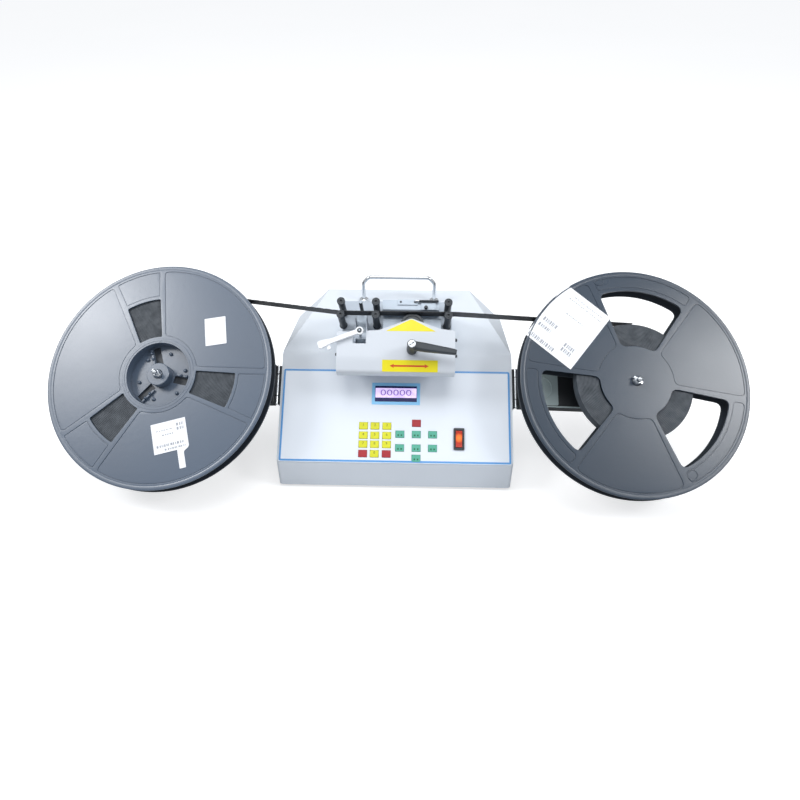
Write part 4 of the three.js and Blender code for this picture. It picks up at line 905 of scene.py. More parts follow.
class Pattern:
    """A Geometry Nodes tree that repeats a piece or follows a path."""

    def __init__(self, name: str, inputs: dict[str, str]) -> None:
        """Open the tree.

        Args:
            name: Name of the tree.
            inputs: For each input, its kind of socket.
        """
        self.tree = bpy.data.node_groups.new(name, "GeometryNodeTree")
        for label, kind in {"Geometry": "Geometry", **inputs, "Finish": "Material"}.items():
            self.tree.interface.new_socket(label, in_out="INPUT", socket_type="NodeSocket" + kind)
        self.tree.interface.new_socket("Geometry", in_out="OUTPUT", socket_type="NodeSocketGeometry")
        self.nodes = Nodes(self.tree)
        self.start = self.nodes.add("NodeGroupInput").outputs
        self.end = self.nodes.add("NodeGroupOutput").inputs

    def copies(self, points: Socket, turn: Socket) -> Socket:
        """Set the piece on points.

        Args:
            points: The points.
            turn: The piece's rotation on each of them.

        Returns:
            The copies.
        """
        piece = self.nodes.add("GeometryNodeObjectInfo", {"Object": self.start["Piece"]})
        return self.nodes.add("GeometryNodeInstanceOnPoints", {
            "Points": points, "Instance": piece.outputs["Geometry"], "Rotation": turn,
        }).outputs[0]

    def heading(self, way: Socket) -> Socket:
        """Return the rotation about z that lets the x axis point in a way."""
        return self.nodes.add("FunctionNodeAlignRotationToVector", {"Vector": way}, axis="X",
                              pivot_axis="Z").outputs[0]

    def about_z(self, angle: Socket) -> Socket:
        """Return an angle as the z part of a vector."""
        return self.nodes.add("ShaderNodeCombineXYZ", {"Z": angle}).outputs[0]

    def close(self, geometry: Socket) -> None:
        """End the tree in plain geometry with its material.

        Args:
            geometry: What the tree has made.
        """
        real = self.nodes.add("GeometryNodeRealizeInstances", {"Geometry": geometry})
        links = {"Geometry": real.outputs[0], "Material": self.start["Finish"]}
        dressed = self.nodes.add("GeometryNodeSetMaterial", links)
        self.nodes.take(self.end, {"Geometry": dressed.outputs[0]})

    def made(self, finish: Finishes, values: dict[str, object], base: Mesh | None = None) -> Mesh:
        """Run the tree and return a plain mesh.

        Args:
            finish: The finish of the result.
            values: Value of each input; a mesh is given to an object input as it is.
            base: Points or a line that the tree starts from.

        Returns:
            The result's mesh.
        """
        holder = placed("holder", base or bpy.data.meshes.new("base"))
        modifier = holder.modifiers.new("pattern", "NODES")
        modifier.node_group = self.tree
        pieces = []
        for item in self.tree.interface.items_tree:
            if item.in_out == "OUTPUT" or item.name == "Geometry":
                continue
            value = finish.material if item.name == "Finish" else values[item.name]
            if isinstance(value, Mesh):
                value = placed("pattern_piece", value)
                pieces.append(value)
            modifier[item.identifier] = value
        graph = bpy.context.evaluated_depsgraph_get()
        mesh = bpy.data.meshes.new_from_object(holder.evaluated_get(graph))
        holder.modifiers.remove(modifier)
        for used in (holder, *pieces):
            bpy.data.objects.remove(used)
        return mesh


def ring_pattern() -> Pattern:
    """Build the tree that sets a piece round a circle, its x axis pointing out.

    Returns:
        The tree.
    """
    pattern = Pattern("pieces_round_a_ring", {
        "Count": "Int", "Radius": "Float", "Level": "Float", "Turn": "Float", "Piece": "Object",
    })
    nodes, start = pattern.nodes, pattern.start
    ring = nodes.add("GeometryNodeMeshCircle", {"Vertices": start["Count"], "Radius": start["Radius"]})
    place = nodes.add("GeometryNodeInputPosition").outputs[0]
    turned_ring = nodes.add("GeometryNodeTransform", {
        "Geometry": pattern.copies(ring.outputs[0], pattern.heading(place)),
        "Translation": pattern.about_z(start["Level"]),
        "Rotation": pattern.about_z(start["Turn"]),
    })
    pattern.close(turned_ring.outputs[0])
    return pattern


def row_pattern() -> Pattern:
    """Build the tree that sets a piece at even steps along a line, its x axis along the line.

    Returns:
        The tree.
    """
    pattern = Pattern("pieces_along_a_line", {"Pitch": "Float", "Piece": "Object"})
    nodes, start = pattern.nodes, pattern.start
    line = nodes.add("GeometryNodeMeshToCurve", {"Mesh": start["Geometry"]})
    links = {"Curve": line.outputs[0], "Length": start["Pitch"]}
    steps = nodes.add("GeometryNodeResampleCurve", links, mode="LENGTH")
    way = nodes.add("GeometryNodeInputTangent").outputs[0]
    pattern.close(pattern.copies(steps.outputs[0], pattern.heading(way)))
    return pattern


def scatter_pattern() -> Pattern:
    """Build the tree that sets a fastener on each point, each turned by chance from a fixed seed.

    Returns:
        The tree.
    """
    pattern = Pattern("fasteners_on_points", {"Seed": "Int", "Piece": "Object"})
    start = pattern.start
    links = {"Seed": start["Seed"], 2: 0.0, 3: math.tau}
    chance = pattern.nodes.add("FunctionNodeRandomValue", links, data_type="FLOAT")
    pattern.close(pattern.copies(start["Geometry"], pattern.about_z(chance.outputs[1])))
    return pattern


def spiral_pattern() -> Pattern:
    """Build the tree that winds a flat strip into a spiral.

    Returns:
        The tree.
    """
    pattern = Pattern("wound_strip", {
        "Loops": "Float", "Start": "Float", "End": "Float", "Width": "Float", "Thickness": "Float",
        "Steps": "Int",
    })
    nodes, start = pattern.nodes, pattern.start
    spiral = nodes.add("GeometryNodeCurveSpiral", {
        "Resolution": start["Steps"], "Rotations": start["Loops"],
        "Start Radius": start["Start"], "End Radius": start["End"], "Height": 0.0,
    })
    upright = nodes.add("GeometryNodeSetCurveNormal", {"Curve": spiral.outputs[0]}, mode="Z_UP")
    section = nodes.add("GeometryNodeCurvePrimitiveQuadrilateral", {
        "Width": start["Thickness"], "Height": start["Width"],
    })
    strip = nodes.add("GeometryNodeCurveToMesh", {
        "Curve": upright.outputs[0], "Profile Curve": section.outputs[0], "Fill Caps": True,
    })
    pattern.close(strip.outputs[0])
    return pattern


class Patterns:
    """The trees of this file, each built once."""

    ring = ring_pattern()
    row = row_pattern()
    scatter = scatter_pattern()
    spiral = spiral_pattern()


def points_mesh(places: Iterable[Sequence[float]], line: bool = False) -> Mesh:
    """Make a mesh of points.

    Args:
        places: The points.
        line: Whether they are joined into a line.

    Returns:
        The mesh.
    """
    places = list(places)
    edges = [(step, step + 1) for step in range(len(places) - 1)] if line else []
    mesh = bpy.data.meshes.new("points")
    mesh.from_pydata(places, edges, [])
    return mesh


def ring_of(piece: Mesh, finish: Finishes, count: int, radius: float, level: float,
            degrees: float = 0.0) -> Mesh:
    """Set a piece round a circle.

    Args:
        piece: The piece, its x axis pointing out.
        finish: The finish of the copies.
        count: Number of copies.
        radius: Radius of the circle.
        level: Its height.
        degrees: Turn of the first copy.

    Returns:
        The copies in one mesh.
    """
    return Patterns.ring.made(finish, {
        "Count": count, "Radius": radius, "Level": level, "Turn": math.radians(degrees), "Piece": piece,
    })


def fasteners(piece: Mesh, finish: Finishes, seed: int, places: Iterable[Sequence[float]]) -> Mesh:
    """Set a fastener on each place, each turned by chance from the seed, and return them in one mesh."""
    return Patterns.scatter.made(finish, {"Seed": seed, "Piece": piece}, points_mesh(places))


def screw_head(radius: float, height: float) -> Mesh:
    """Make a round screw head with a round socket, standing on its own origin.

    Args:
        radius: Its radius.
        height: Its height.

    Returns:
        The head's mesh.
    """
    socket, floor = radius * 0.42, height * 0.35
    rim = turned([
        (socket, floor), (radius, 0.0), (radius, height * 0.55), (radius * 0.8, height * 0.95),
        (radius * 0.55, height), (socket, height),
    ], 24)
    return joined([rim, plate([circle(radius * 0.6, 12)], 0.0, floor)])


# Pieces

WELD_REACH = 1e-6
FLAT_ANGLE = 0.6
NORMAL_WEIGHT = 80
SHARP_ANGLE = 40
ROUND_ANGLE = 32


def wear(piece: bpy.types.Object, finish: Finishes) -> None:
    """Give an object a finish.

    Args:
        piece: The object.
        finish: The finish.
    """
    piece.data.materials.clear()
    piece.data.materials.append(finish.material)
    finish.slot


def finished(mesh: Mesh, name: str, finish: Finishes, body: str,
             replaces: Iterable[str] = ()) -> bpy.types.Object:
    """Make an object of a final mesh, dress it and let it ride on its body.

    Args:
        mesh: The mesh, in the frame's metres.
        name: Name of the piece.
        finish: Its finish.
        body: The body that carries it, or nothing, which leaves it on no body.
        replaces: CAD nodes that it stands for.

    Returns:
        The piece.
    """
    mesh.shade_smooth()
    mesh.set_sharp_from_angle(angle=math.radians(SHARP_ANGLE))
    mesh = with_modifier(mesh, "WEIGHTED_NORMAL", keep_sharp=True, weight=NORMAL_WEIGHT)
    mesh.name = name
    piece = placed(name, mesh)
    if body:
        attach(piece, body)
    wear(piece, finish)
    for node in replaces:
        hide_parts(node)
    LOG.info("%s: %d faces on %s", name, len(mesh.polygons), body or "two bodies")
    return piece


def with_modifier(mesh: Mesh, kind: str, **settings: object) -> Mesh:
    """Apply a modifier to a mesh.

    Args:
        mesh: The mesh, which the new one takes the place of.
        kind: Blender's name for the modifier's type.
        settings: The modifier's own settings.

    Returns:
        The new mesh.
    """
    holder = placed("work", mesh)
    modifier = holder.modifiers.new("work", kind)
    for name, value in settings.items():
        setattr(modifier, name, value)
    view = bpy.context.evaluated_depsgraph_get()
    result = bpy.data.meshes.new_from_object(holder.evaluated_get(view), depsgraph=view)
    bpy.data.objects.remove(holder)
    bpy.data.meshes.remove(mesh)
    return result


def merged_copy(node: str, above: float | None = None) -> Mesh:
    """Copy a CAD node's mesh with its triangles joined and its flats dissolved.

    Args:
        node: Name of the CAD node.
        above: Height in millimetres under which the copy is cut off, if any.

    Returns:
        The copy.
    """
    work = bmesh.new()
    work.from_mesh(frame["nodes"][node].data)
    bmesh.ops.remove_doubles(work, verts=work.verts, dist=WELD_REACH)
    if above is not None:
        everything = [*work.verts, *work.edges, *work.faces]
        cut = bmesh.ops.bisect_plane(work, geom=everything, plane_co=(0, 0, above * MM),
                                     plane_no=(0, 0, -1), clear_outer=True)
        rims = [part for part in cut["geom_cut"] if isinstance(part, bmesh.types.BMEdge)]
        bmesh.ops.holes_fill(work, edges=rims, sides=0)
    bmesh.ops.dissolve_limit(work, angle_limit=math.radians(FLAT_ANGLE), verts=work.verts,
                             edges=work.edges)
    mesh = bpy.data.meshes.new(node)
    work.to_mesh(mesh)
    work.free()
    return mesh


def refined(node: str, finish: Finishes, round_mm: float, segments: int = 2,
            above: float | None = None) -> None:
    """Stand a CAD node's own shape in for it, with softened edges and a finish.

    Args:
        node: Name of the CAD node.
        finish: Its finish.
        round_mm: Width of the round on its edges.
        segments: Faces across the round.
        above: Height in millimetres under which the copy is cut off, if any.
    """
    mesh = with_modifier(merged_copy(node, above), "BEVEL", width=round_mm * MM, segments=segments,
                         limit_method="ANGLE", angle_limit=math.radians(ROUND_ANGLE), use_clamp_overlap=True)
    finished(mesh, node + "_dressed", finish, body_of(node), [node])


def dress(node: str, finish: Finishes) -> None:
    """Give a CAD node itself a finish."""
    wear(frame["nodes"][node], finish)
    LOG.info("%s keeps its shape in %s", node, finish.name)


def body_of(node: str) -> str:
    """Return the body that carries a CAD node."""
    return frame["nodes"][node]["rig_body"]


@dataclass
class Assembly:
    """A sub-assembly with its own axes and the node whose body carries it."""

    axes: Axes
    carrier: str

    def put(self, name: str, finish: Finishes, meshes: Sequence[Mesh],
            replaces: Iterable[str] = (), carrier: str = "") -> None:
        """Join meshes that were made in millimetres into one piece in its place.

        Args:
            name: Name of the piece.
            finish: Its finish.
            meshes: Its parts, in the axes of this sub-assembly.
            replaces: CAD nodes that it stands for.
            carrier: Node whose body carries it, if not this sub-assembly's own.
        """
        mesh = joined(meshes)
        mesh.transform(self.axes.from_mm)
        finished(mesh, name, finish, body_of(carrier or self.carrier), replaces)


# Studio

WHITE = (1, 1, 1, 1)


@dataclass(frozen=True)
class Softbox:
    """A large soft lamp that looks at the middle of the counter."""

    name: str
    place: tuple[float, float, float]
    size: float
    watts: float

    def build(self, target: Vector) -> None:
        """Add the lamp and turn it to its target.

        Args:
            target: The place that it looks at.
        """
        lamp = bpy.data.lights.new(self.name, "AREA")
        lamp.shape = "SQUARE"
        lamp.size = self.size
        lamp.energy = self.watts
        holder = placed(self.name, lamp)
        holder.location = self.place
        holder.rotation_euler = (target - Vector(self.place)).to_track_quat("-Z", "Y").to_euler()


@dataclass(frozen=True)
class Studio:
    """Camera, lamps, world and floor."""

    eye: tuple[float, float, float] = (24.1, -132.55, 935.1)
    turn: tuple[float, float, float] = (13.70, 0.829, 1.124)
    focal_pixels: float = 650.0
    image_pixels: float = 800.0
    sensor: float = 36.0
    nearest: float = 0.01
    floor_size: float = 40.0
    floor_gap: float = 0.0005
    floor_dark: tuple[float, ...] = (0.61, 0.62, 0.63, 1)
    floor_pale: tuple[float, ...] = (0.65, 0.65, 0.66, 1)
    floor_glow: float = 0.6
    speckle_scale: float = 40.0
    world_colour: tuple[float, ...] = (0.93, 0.96, 1.0, 1)
    world_level: float = 0.56
    target: tuple[float, float, float] = (0, 100, 20)
    softboxes: tuple[Softbox, ...] = (
        Softbox("key_softbox", (-1.72, -0.3, 1.72), 0.7, 20.0),
        Softbox("fill_softbox", (1.72, -0.6, 1.62), 0.65, 17.0),
        Softbox("top_softbox", (0.0, -0.2, 2.3), 1.5, 21.0),
    )

    def camera(self) -> None:
        """Stand the camera over the slope, where the photo was taken from."""
        lens = bpy.data.cameras.new("camera")
        lens.sensor_width = self.sensor
        lens.lens = self.focal_pixels / self.image_pixels * self.sensor
        lens.clip_start = self.nearest
        holder = placed("camera", lens)
        turns = [Matrix.Rotation(math.radians(angle), 4, axis) for angle, axis in zip(self.turn, "XYZ")]
        eye = Matrix.Translation(Vector(self.eye) * MM)
        holder.matrix_world = SLOPE.matrix @ eye @ (turns[2] @ turns[1] @ turns[0])
        bpy.context.scene.camera = holder

    def world(self) -> None:
        """Light the counter softly from all sides and show white behind it."""
        world = bpy.data.worlds.new("studio")
        bpy.context.scene.world = world
        world.use_nodes = True
        world.node_tree.nodes.clear()
        nodes = Nodes(world.node_tree)
        soft = nodes.add("ShaderNodeBackground", {"Color": self.world_colour, "Strength": self.world_level})
        white = nodes.add("ShaderNodeBackground", {"Color": WHITE, "Strength": 1.0})
        mix = nodes.add("ShaderNodeMixShader", {0: nodes.seen(), 1: soft.outputs[0], 2: white.outputs[0]})
        nodes.add("ShaderNodeOutputWorld", {"Surface": mix.outputs[0]})

    def floor(self) -> None:
        """Lay the pale floor, which keeps the counter's shadow."""
        mesh = bpy.data.meshes.new("studio_floor")
        corners = [(x, y, 0) for x, y in rectangle(self.floor_size, self.floor_size)]
        mesh.from_pydata(corners, [], [(0, 1, 2, 3)])
        floor = placed("studio_floor", mesh)
        floor.location.z = -self.floor_gap
        material = bpy.data.materials.new("pale_floor")
        material.use_nodes = True
        material.node_tree.nodes.clear()
        nodes = Nodes(material.node_tree)
        speckle = nodes.add("ShaderNodeTexNoise", {"Scale": self.speckle_scale})
        tone = nodes.blend(speckle.outputs[0], self.floor_dark, self.floor_pale)
        ground = nodes.add("ShaderNodeBsdfDiffuse", {"Color": tone})
        glow = nodes.add("ShaderNodeEmission", {"Color": WHITE, "Strength": self.floor_glow})
        bright = nodes.add("ShaderNodeAddShader", {0: ground.outputs[0], 1: glow.outputs[0]})
        mix = nodes.add("ShaderNodeMixShader", {0: nodes.seen(), 1: ground.outputs[0], 2: bright.outputs[0]})
        nodes.add("ShaderNodeOutputMaterial", {"Surface": mix.outputs[0]})
        mesh.materials.append(material)

    def build(self) -> None:
        """Set up the camera, the lamps, the world and the floor."""
        bpy.context.scene.view_settings.view_transform = "Standard"
        self.camera()
        self.world()
        self.floor()
        target = SLOPE.from_mm @ Vector(self.target)
        for softbox in self.softboxes:
            softbox.build(target)
        LOG.info("studio: %d softboxes", len(self.softboxes))


# The counter

THIRD_TURN = 120


@dataclass
class Housing(Assembly):
    """Case of bent sheet, base plate with rubber feet, power supply and inlet."""

    edge: float = 1.1
    foot_radius: float = 11.2
    foot_height: float = 5.0
    foot_taper: float = 1.2
    foot_round: float = 0.4
    foot_inset: float = 26.0
    foot_lap: float = 0.05
    screw_radius: float = 2.9
    screw_height: float = 1.1
    screw_inset: float = 12.0
    back_screws: tuple[float, ...] = (-140.0, -50.0, 50.0, 140.0)
    side_screws: tuple[float, ...] = (-100.0, 0.0, 100.0)

    def feet(self) -> None:
        """Set the four rubber feet round those of the base plate."""
        refined("base_plate", Finishes.GREY_SHEET, 0.3, above=self.foot_height - self.foot_lap)
        low, high = self.axes.box_of("case_shell")
        x, back, front = high.x - self.foot_inset, high.y - self.foot_inset, low.y + self.foot_inset
        sole = self.foot_radius - self.foot_taper
        foot = turned([
            (0.0, 0.0), (sole - self.foot_round, 0.0), (sole, 0.3), (self.foot_radius, self.foot_height),
            (0.0, self.foot_height),
        ], 40)
        places = [(side * x, y, 0.0) for side in (-1, 1) for y in (front, back)]
        self.put("rubber_feet", Finishes.RUBBER, [fasteners(foot, Finishes.RUBBER, 3, places)])

    def screws(self) -> None:
        """Hold the case to its base with screws low on the back and on both sides."""
        low, high = self.axes.box_of("case_shell")
        level = low.z + self.screw_inset
        middle, up = (low.y + high.y) / 2, Vector((0, 0, 1))
        sides = {
            "back": ((0, high.y, level), (-1, 0, 0), self.back_screws),
            "left": ((low.x, middle, level), (0, -1, 0), self.side_screws),
            "right": ((high.x, middle, level), (0, 1, 0), self.side_screws),
        }
        for side, (origin, way, places) in sides.items():
            across = Vector(way)
            face = Axes(self.axes.from_mm @ Vector(origin), across, up, across.cross(up))
            screws = fasteners(screw_head(self.screw_radius, self.screw_height), Finishes.STEEL, 5,
                               [(place, 0.0, 0.0) for place in places])
            Assembly(face, self.carrier).put(f"case_screws_{side}", Finishes.STEEL, [screws])

    def build(self) -> None:
        """Build the housing."""
        refined("case_shell", Finishes.CASE, self.edge, 3)
        refined("power_inlet", Finishes.BLACK, 0.5)
        dress("power_supply", Finishes.STEEL)
        dress("main_board", Finishes.BOARD)
        self.feet()
        self.screws()


@dataclass
class Panel(Assembly):
    """Printed film on the slope with its frame line, the display, the keys and the rocker."""

    line_inset: float = 0.3
    line_width: float = 2.8
    line_corner: float = 3.2
    line_least_corner: float = 0.8
    line_overhang: float = 1.2
    hem_reach: float = 1.9
    hem_corner: float = 2.0
    hem_lap: float = 0.4
    hem_drop: float = 0.5
    hem_sink: float = 0.02
    print_height: float = 0.12
    print_sink: float = 0.05
    module_rim: float = 5.0
    display_frame: float = 4.6
    frame_height: float = 0.5
    glass_depth: float = 0.4
    glass_thickness: float = 0.15
    band_thickness: float = 0.1
    digit_thickness: float = 0.05
    band_side: float = 0.6
    band_below: float = 6.2
    band_above: float = 3.2
    display_size: float = 13.0
    display_stretch: float = 1.45
    digit_size: float = 5.4
    digit_up: float = 1.2
    mark_size: tuple[float, float] = (2.4, 2.6)
    mark_place: tuple[float, float] = (2.3, -1.6)
    number_rows: tuple[str, ...] = ("123", "456", "789", " 0 ")

    def film(self) -> None:
        """Lay the film and print the line along its edge."""
        refined("control_panel", Finishes.FILM, 0.2, 1)
        low, high = self.axes.box_of("control_panel")
        foot, lap, corner = low.y - self.hem_reach, low.y + self.hem_lap, self.hem_corner
        hem = rounded([(low.x, foot, corner), (high.x, foot, corner), (high.x, lap), (low.x, lap)])
        hem_plate = plate([hem], low.z - self.hem_drop, high.z - self.hem_sink, 0.2)
        self.put("panel_film_hem", Finishes.FILM, [hem_plate])
        width, length = high.x - low.x, high.y - low.y + self.line_overhang
        middle = (low.y + high.y) / 2 - self.line_overhang / 2
        loops = []
        for inset in (self.line_inset, self.line_inset + self.line_width):
            corner = max(self.line_corner - inset, self.line_least_corner)
            loops.append(rounded(rectangle(width - 2 * inset, length - 2 * inset, 0, middle), corner))
        line = plate(loops, high.z, high.z + self.print_height)
        self.put("panel_frame_line", Finishes.FRAME_LINE, [line])

    def display(self) -> None:
        """Set the display: blue frame, dark bars and the lit band with its digits."""
        low, high = self.axes.box_of("display_module")
        face = self.axes.box_of("control_panel")[1].z
        middle = middle_of(low, high)
        width, length = high.x - low.x - 2 * self.module_rim, high.y - low.y - 2 * self.module_rim
        refined("display_module", Finishes.BLACK, 0.2, 1)
        window = rectangle(width, length, *middle)
        outer = rectangle(width + 2 * self.display_frame, length + 2 * self.display_frame, *middle)
        rim = plate([outer, window], face, face + self.frame_height, 0.15)
        self.put("display_frame", Finishes.DISPLAY_FRAME, [rim])
        level = face - self.glass_depth
        top = level + self.glass_thickness
        self.put("display_glass", Finishes.GLASS, [plate([window], level, top)])
        height = length - self.band_below - self.band_above
        y = middle[1] + (self.band_below - self.band_above) / 2
        band = rectangle(width - 2 * self.band_side, height, middle[0], y)
        level, top = top, top + self.band_thickness
        self.put("display_band", Finishes.LCD_BAND, [plate([band], level, top)])
        digits = written("00000", self.display_size, top, top + self.digit_thickness, middle[0], y)
        stretch = Matrix.Diagonal((self.display_stretch, 1, 1, 1))
        digits.transform(Matrix.Translation((middle[0], 0, 0)) @ stretch)
        self.put("display_digits", Finishes.LCD_MARK, [digits])

    def keys(self) -> None:
        """Dress each key cap and print the digits and the marks."""
        for node in [name for name in frame["nodes"] if "_key_" in name]:
            finish = finish_of(node)
            refined(node, finish, 0.45, 3)
            low, high = self.axes.box_of(node)
            x, y = middle_of(low, high)
            foot, top = high.z - self.print_sink, high.z + self.print_height / 2
            if node.startswith("number") and finish is Finishes.KEY_YELLOW:
                text = self.number_rows[int(node[-3]) - 1][int(node[-1]) - 1]
                digit = written(text, self.digit_size, foot, top, x, y + self.digit_up)
                self.put(node + "_digit", Finishes.KEY_PRINT, [digit], carrier=node)
            elif finish is Finishes.KEY_GREEN:
                aside, up = self.mark_place
                marks = [plate([rectangle(*self.mark_size, x + side * aside, y + up)], foot, top)
                         for side in (-1, 1)]
                self.put(node + "_marks", Finishes.KEY_MARK, marks, carrier=node)

    def rocker(self) -> None:
        """Dress the rocker switch and light its paddle."""
        refined("rocker_frame", Finishes.BLACK, 0.5, 3)
        refined("power_rocker", Finishes.LIT_RED, 0.6, 3)

    def build(self) -> None:
        """Build the panel."""
        self.film()
        self.display()
        self.keys()
        self.rocker()


@dataclass
class TapeHead(Assembly):
    """Cover, floor, rails, press bracket and the labels of the tape head."""

    screw_radius: float = 2.4
    screw_height: float = 2.8
    screw_row: float = 160.0
    screw_level: float = 42.0
    screw_places: tuple[float, ...] = (-9.0, 15.0)
    label_foot: tuple[float, float, float] = (0, 119.6, 60.15)
    label_head: tuple[float, float, float] = (0, 138.4, 64.85)
    label_width: float = 78.0
    label_length: float = 16.6
    label_x: float = 20.2
    label_corner: float = 0.8
    label_height: float = 0.2
    arrow_size: tuple[float, float, float] = (55.0, 2.5, 5.8)
    arrow_height: float = 0.1
    tongue_corners: tuple[tuple[float, ...], ...] = (
        (-14.4, 179.6, 1.0), (56.2, 179.6, 1.0), (21.6, 198.0, 3.0))
    tongue_height: float = 0.15
    step_screws: tuple[tuple[float, float], ...] = ((5.5, 228.4), (26.0, 228.4))
    sheet_size: tuple[float, float] = (21.0, 13.5)
    sheet_middle: tuple[float, float] = (45.5, 223.2)
    sheet_thickness: float = 1.7
    bar_radius: float = 1.75
    bar_level: float = 3.3
    bar_ends: tuple[float, float] = (32.0, 60.0)
    tip_ends: tuple[float, float] = (26.0, 32.2)
    tip_share: float = 0.92
    knob_radius: float = 2.7
    knob_place: tuple[float, float] = (42.0, 219.6)

    def cover(self) -> None:
        """Fold the cover and screw it on."""
        refined("head_base", Finishes.GREY_SHEET, 0.5)
        refined("head_cover", Finishes.COVER, 0.7, 3)
        wide = self.axes.box_of("head_cover")[1].x
        turn = self.axes.matrix.to_3x3()
        for side, name in ((-1, "left"), (1, "right")):
            origin = self.axes.from_mm @ Vector((side * wide, self.screw_row, self.screw_level))
            face = Axes(origin, turn @ Vector((0, side, 0)), self.axes.out, self.axes.across * side)
            heads = fasteners(screw_head(self.screw_radius, self.screw_height), Finishes.BLACK, 7,
                              [(side * place, 0.0, 0.0) for place in self.screw_places])
            Assembly(face, self.carrier).put(f"cover_screws_{name}", Finishes.BLACK, [heads])

    def labels(self) -> None:
        """Stick the two yellow labels on the cover: one with its double arrow, a plain one on the tongue."""
        foot, head = Vector(self.label_foot), Vector(self.label_head)
        along = (head - foot).normalized()
        out = Vector((1, 0, 0)).cross(along)
        turn = self.axes.matrix.to_3x3()
        slant = Axes(self.axes.from_mm @ foot, self.axes.across, turn @ along, turn @ out)
        face, middle = Assembly(slant, self.carrier), (head - foot).length / 2
        outline = rectangle(self.label_width, self.label_length, self.label_x, middle)
        sticker = plate([rounded(outline, self.label_corner)], 0.0, self.label_height)
        face.put("direction_label", Finishes.YELLOW_LABEL, [sticker])
        pointer = set_down(double_arrow(*self.arrow_size), 0, self.label_x - 1, middle)
        mark = plate([pointer], self.label_height, self.label_height + self.arrow_height)
        face.put("direction_arrow", Finishes.RED_PRINT, [mark])
        top = self.axes.box_of("head_cover")[1].z
        tip = plate([rounded(self.tongue_corners)], top, top + self.tongue_height)
        self.put("tongue_label", Finishes.YELLOW_LABEL, [tip])

    def rails(self) -> None:
        """Dress the guide rails, with the two small screws of the step plate."""
        refined("lower_rail", Finishes.RAIL, 0.5, 3)
        refined("upper_rail", Finishes.RAIL, 0.4, 3)
        top = self.axes.box_of("upper_rail")[1].z
        places = [(*spot, top) for spot in self.step_screws]
        heads = fasteners(screw_head(1.5, 0.7), Finishes.BLACK, 11, places)
        self.put("step_plate_screws", Finishes.BLACK, [heads])

    def press(self) -> None:
        """Build the press bracket: sheet, black bar with a bright end, and knob."""
        low, high = self.axes.box_of("press_bracket")
        outline = rounded(rectangle(*self.sheet_size, *self.sheet_middle), 1.5)
        sheet = plate([outline], low.z, low.z + self.sheet_thickness, 0.3)
        self.put("press_sheet", Finishes.RAIL, [sheet], ["press_bracket"])
        y, z = high.y - self.bar_radius, low.z + self.bar_level
        bar = tube([(x, y, z) for x in self.bar_ends], self.bar_radius)
        self.put("press_bar", Finishes.BLACK, [bar])
        tip = tube([(x, y, z) for x in self.tip_ends], self.bar_radius * self.tip_share)
        self.put("press_bar_end", Finishes.STEEL, [tip])
        radius, foot = self.knob_radius, low.z + 1
        knob = turned([(0, foot), (radius, foot), (radius, low.z + 4.6), (radius - 0.7, high.z), (0, high.z)],
                      32, *self.knob_place)
        self.put("press_knob", Finishes.BLACK, [knob])

    def tape(self) -> None:
        """Thread the carrier tape through the head."""
        low, high = self.axes.box_of("tape_head")
        ends = Vector((low.x, low.y, 0)), Vector((high.x, low.y, 0))
        Tape(self.axes, "tape_head", *ends, low.z, high.z).build("carrier_tape_head", ["tape_head"])

    def build(self) -> None:
        """Build the tape head."""
        self.cover()
        self.labels()
        self.rails()
        self.press()
        self.tape()


@dataclass
class Rollers(Assembly):
    """The six black rollers with their ringed caps."""

    waist: float = 4.9
    rim: float = 5.8
    cap_height: float = 3.4
    foot_height: float = 2.2

    def profile(self, low: float, high: float) -> list[Point]:
        """Draw half of a roller with its waist, its rims, and the rings and socket in its cap.

        Args:
            low: Height of its foot.
            high: Height of its cap's face.

        Returns:
            Radius and height of each point.
        """
        cap, foot, waist, rim = high - self.cap_height, low + self.foot_height, self.waist, self.rim
        return [
            (0.0, low), (5.0, low), (rim, low + 0.5), (rim, foot), (waist, foot + 0.5), (waist, cap - 0.7),
            (5.2, cap - 0.4), (rim, cap), (rim, high - 0.5), (5.4, high), (4.5, high), (4.25, high - 0.55),
            (3.7, high - 0.55), (3.45, high), (2.1, high), (1.8, high - 0.3), (1.8, high - 2.4),
            (0.0, high - 2.4),
        ]

    def build(self) -> None:
        """Turn each roller and let it spin on its own axle."""
        for node in [name for name in frame["nodes"] if name.startswith("roller_")]:
            low, high = self.axes.box_of(node)
            roller = turned(self.profile(low.z, high.z), 48, *middle_of(low, high))
            self.put(node + "_sleeve", Finishes.BLACK, [roller], [node], carrier=node)


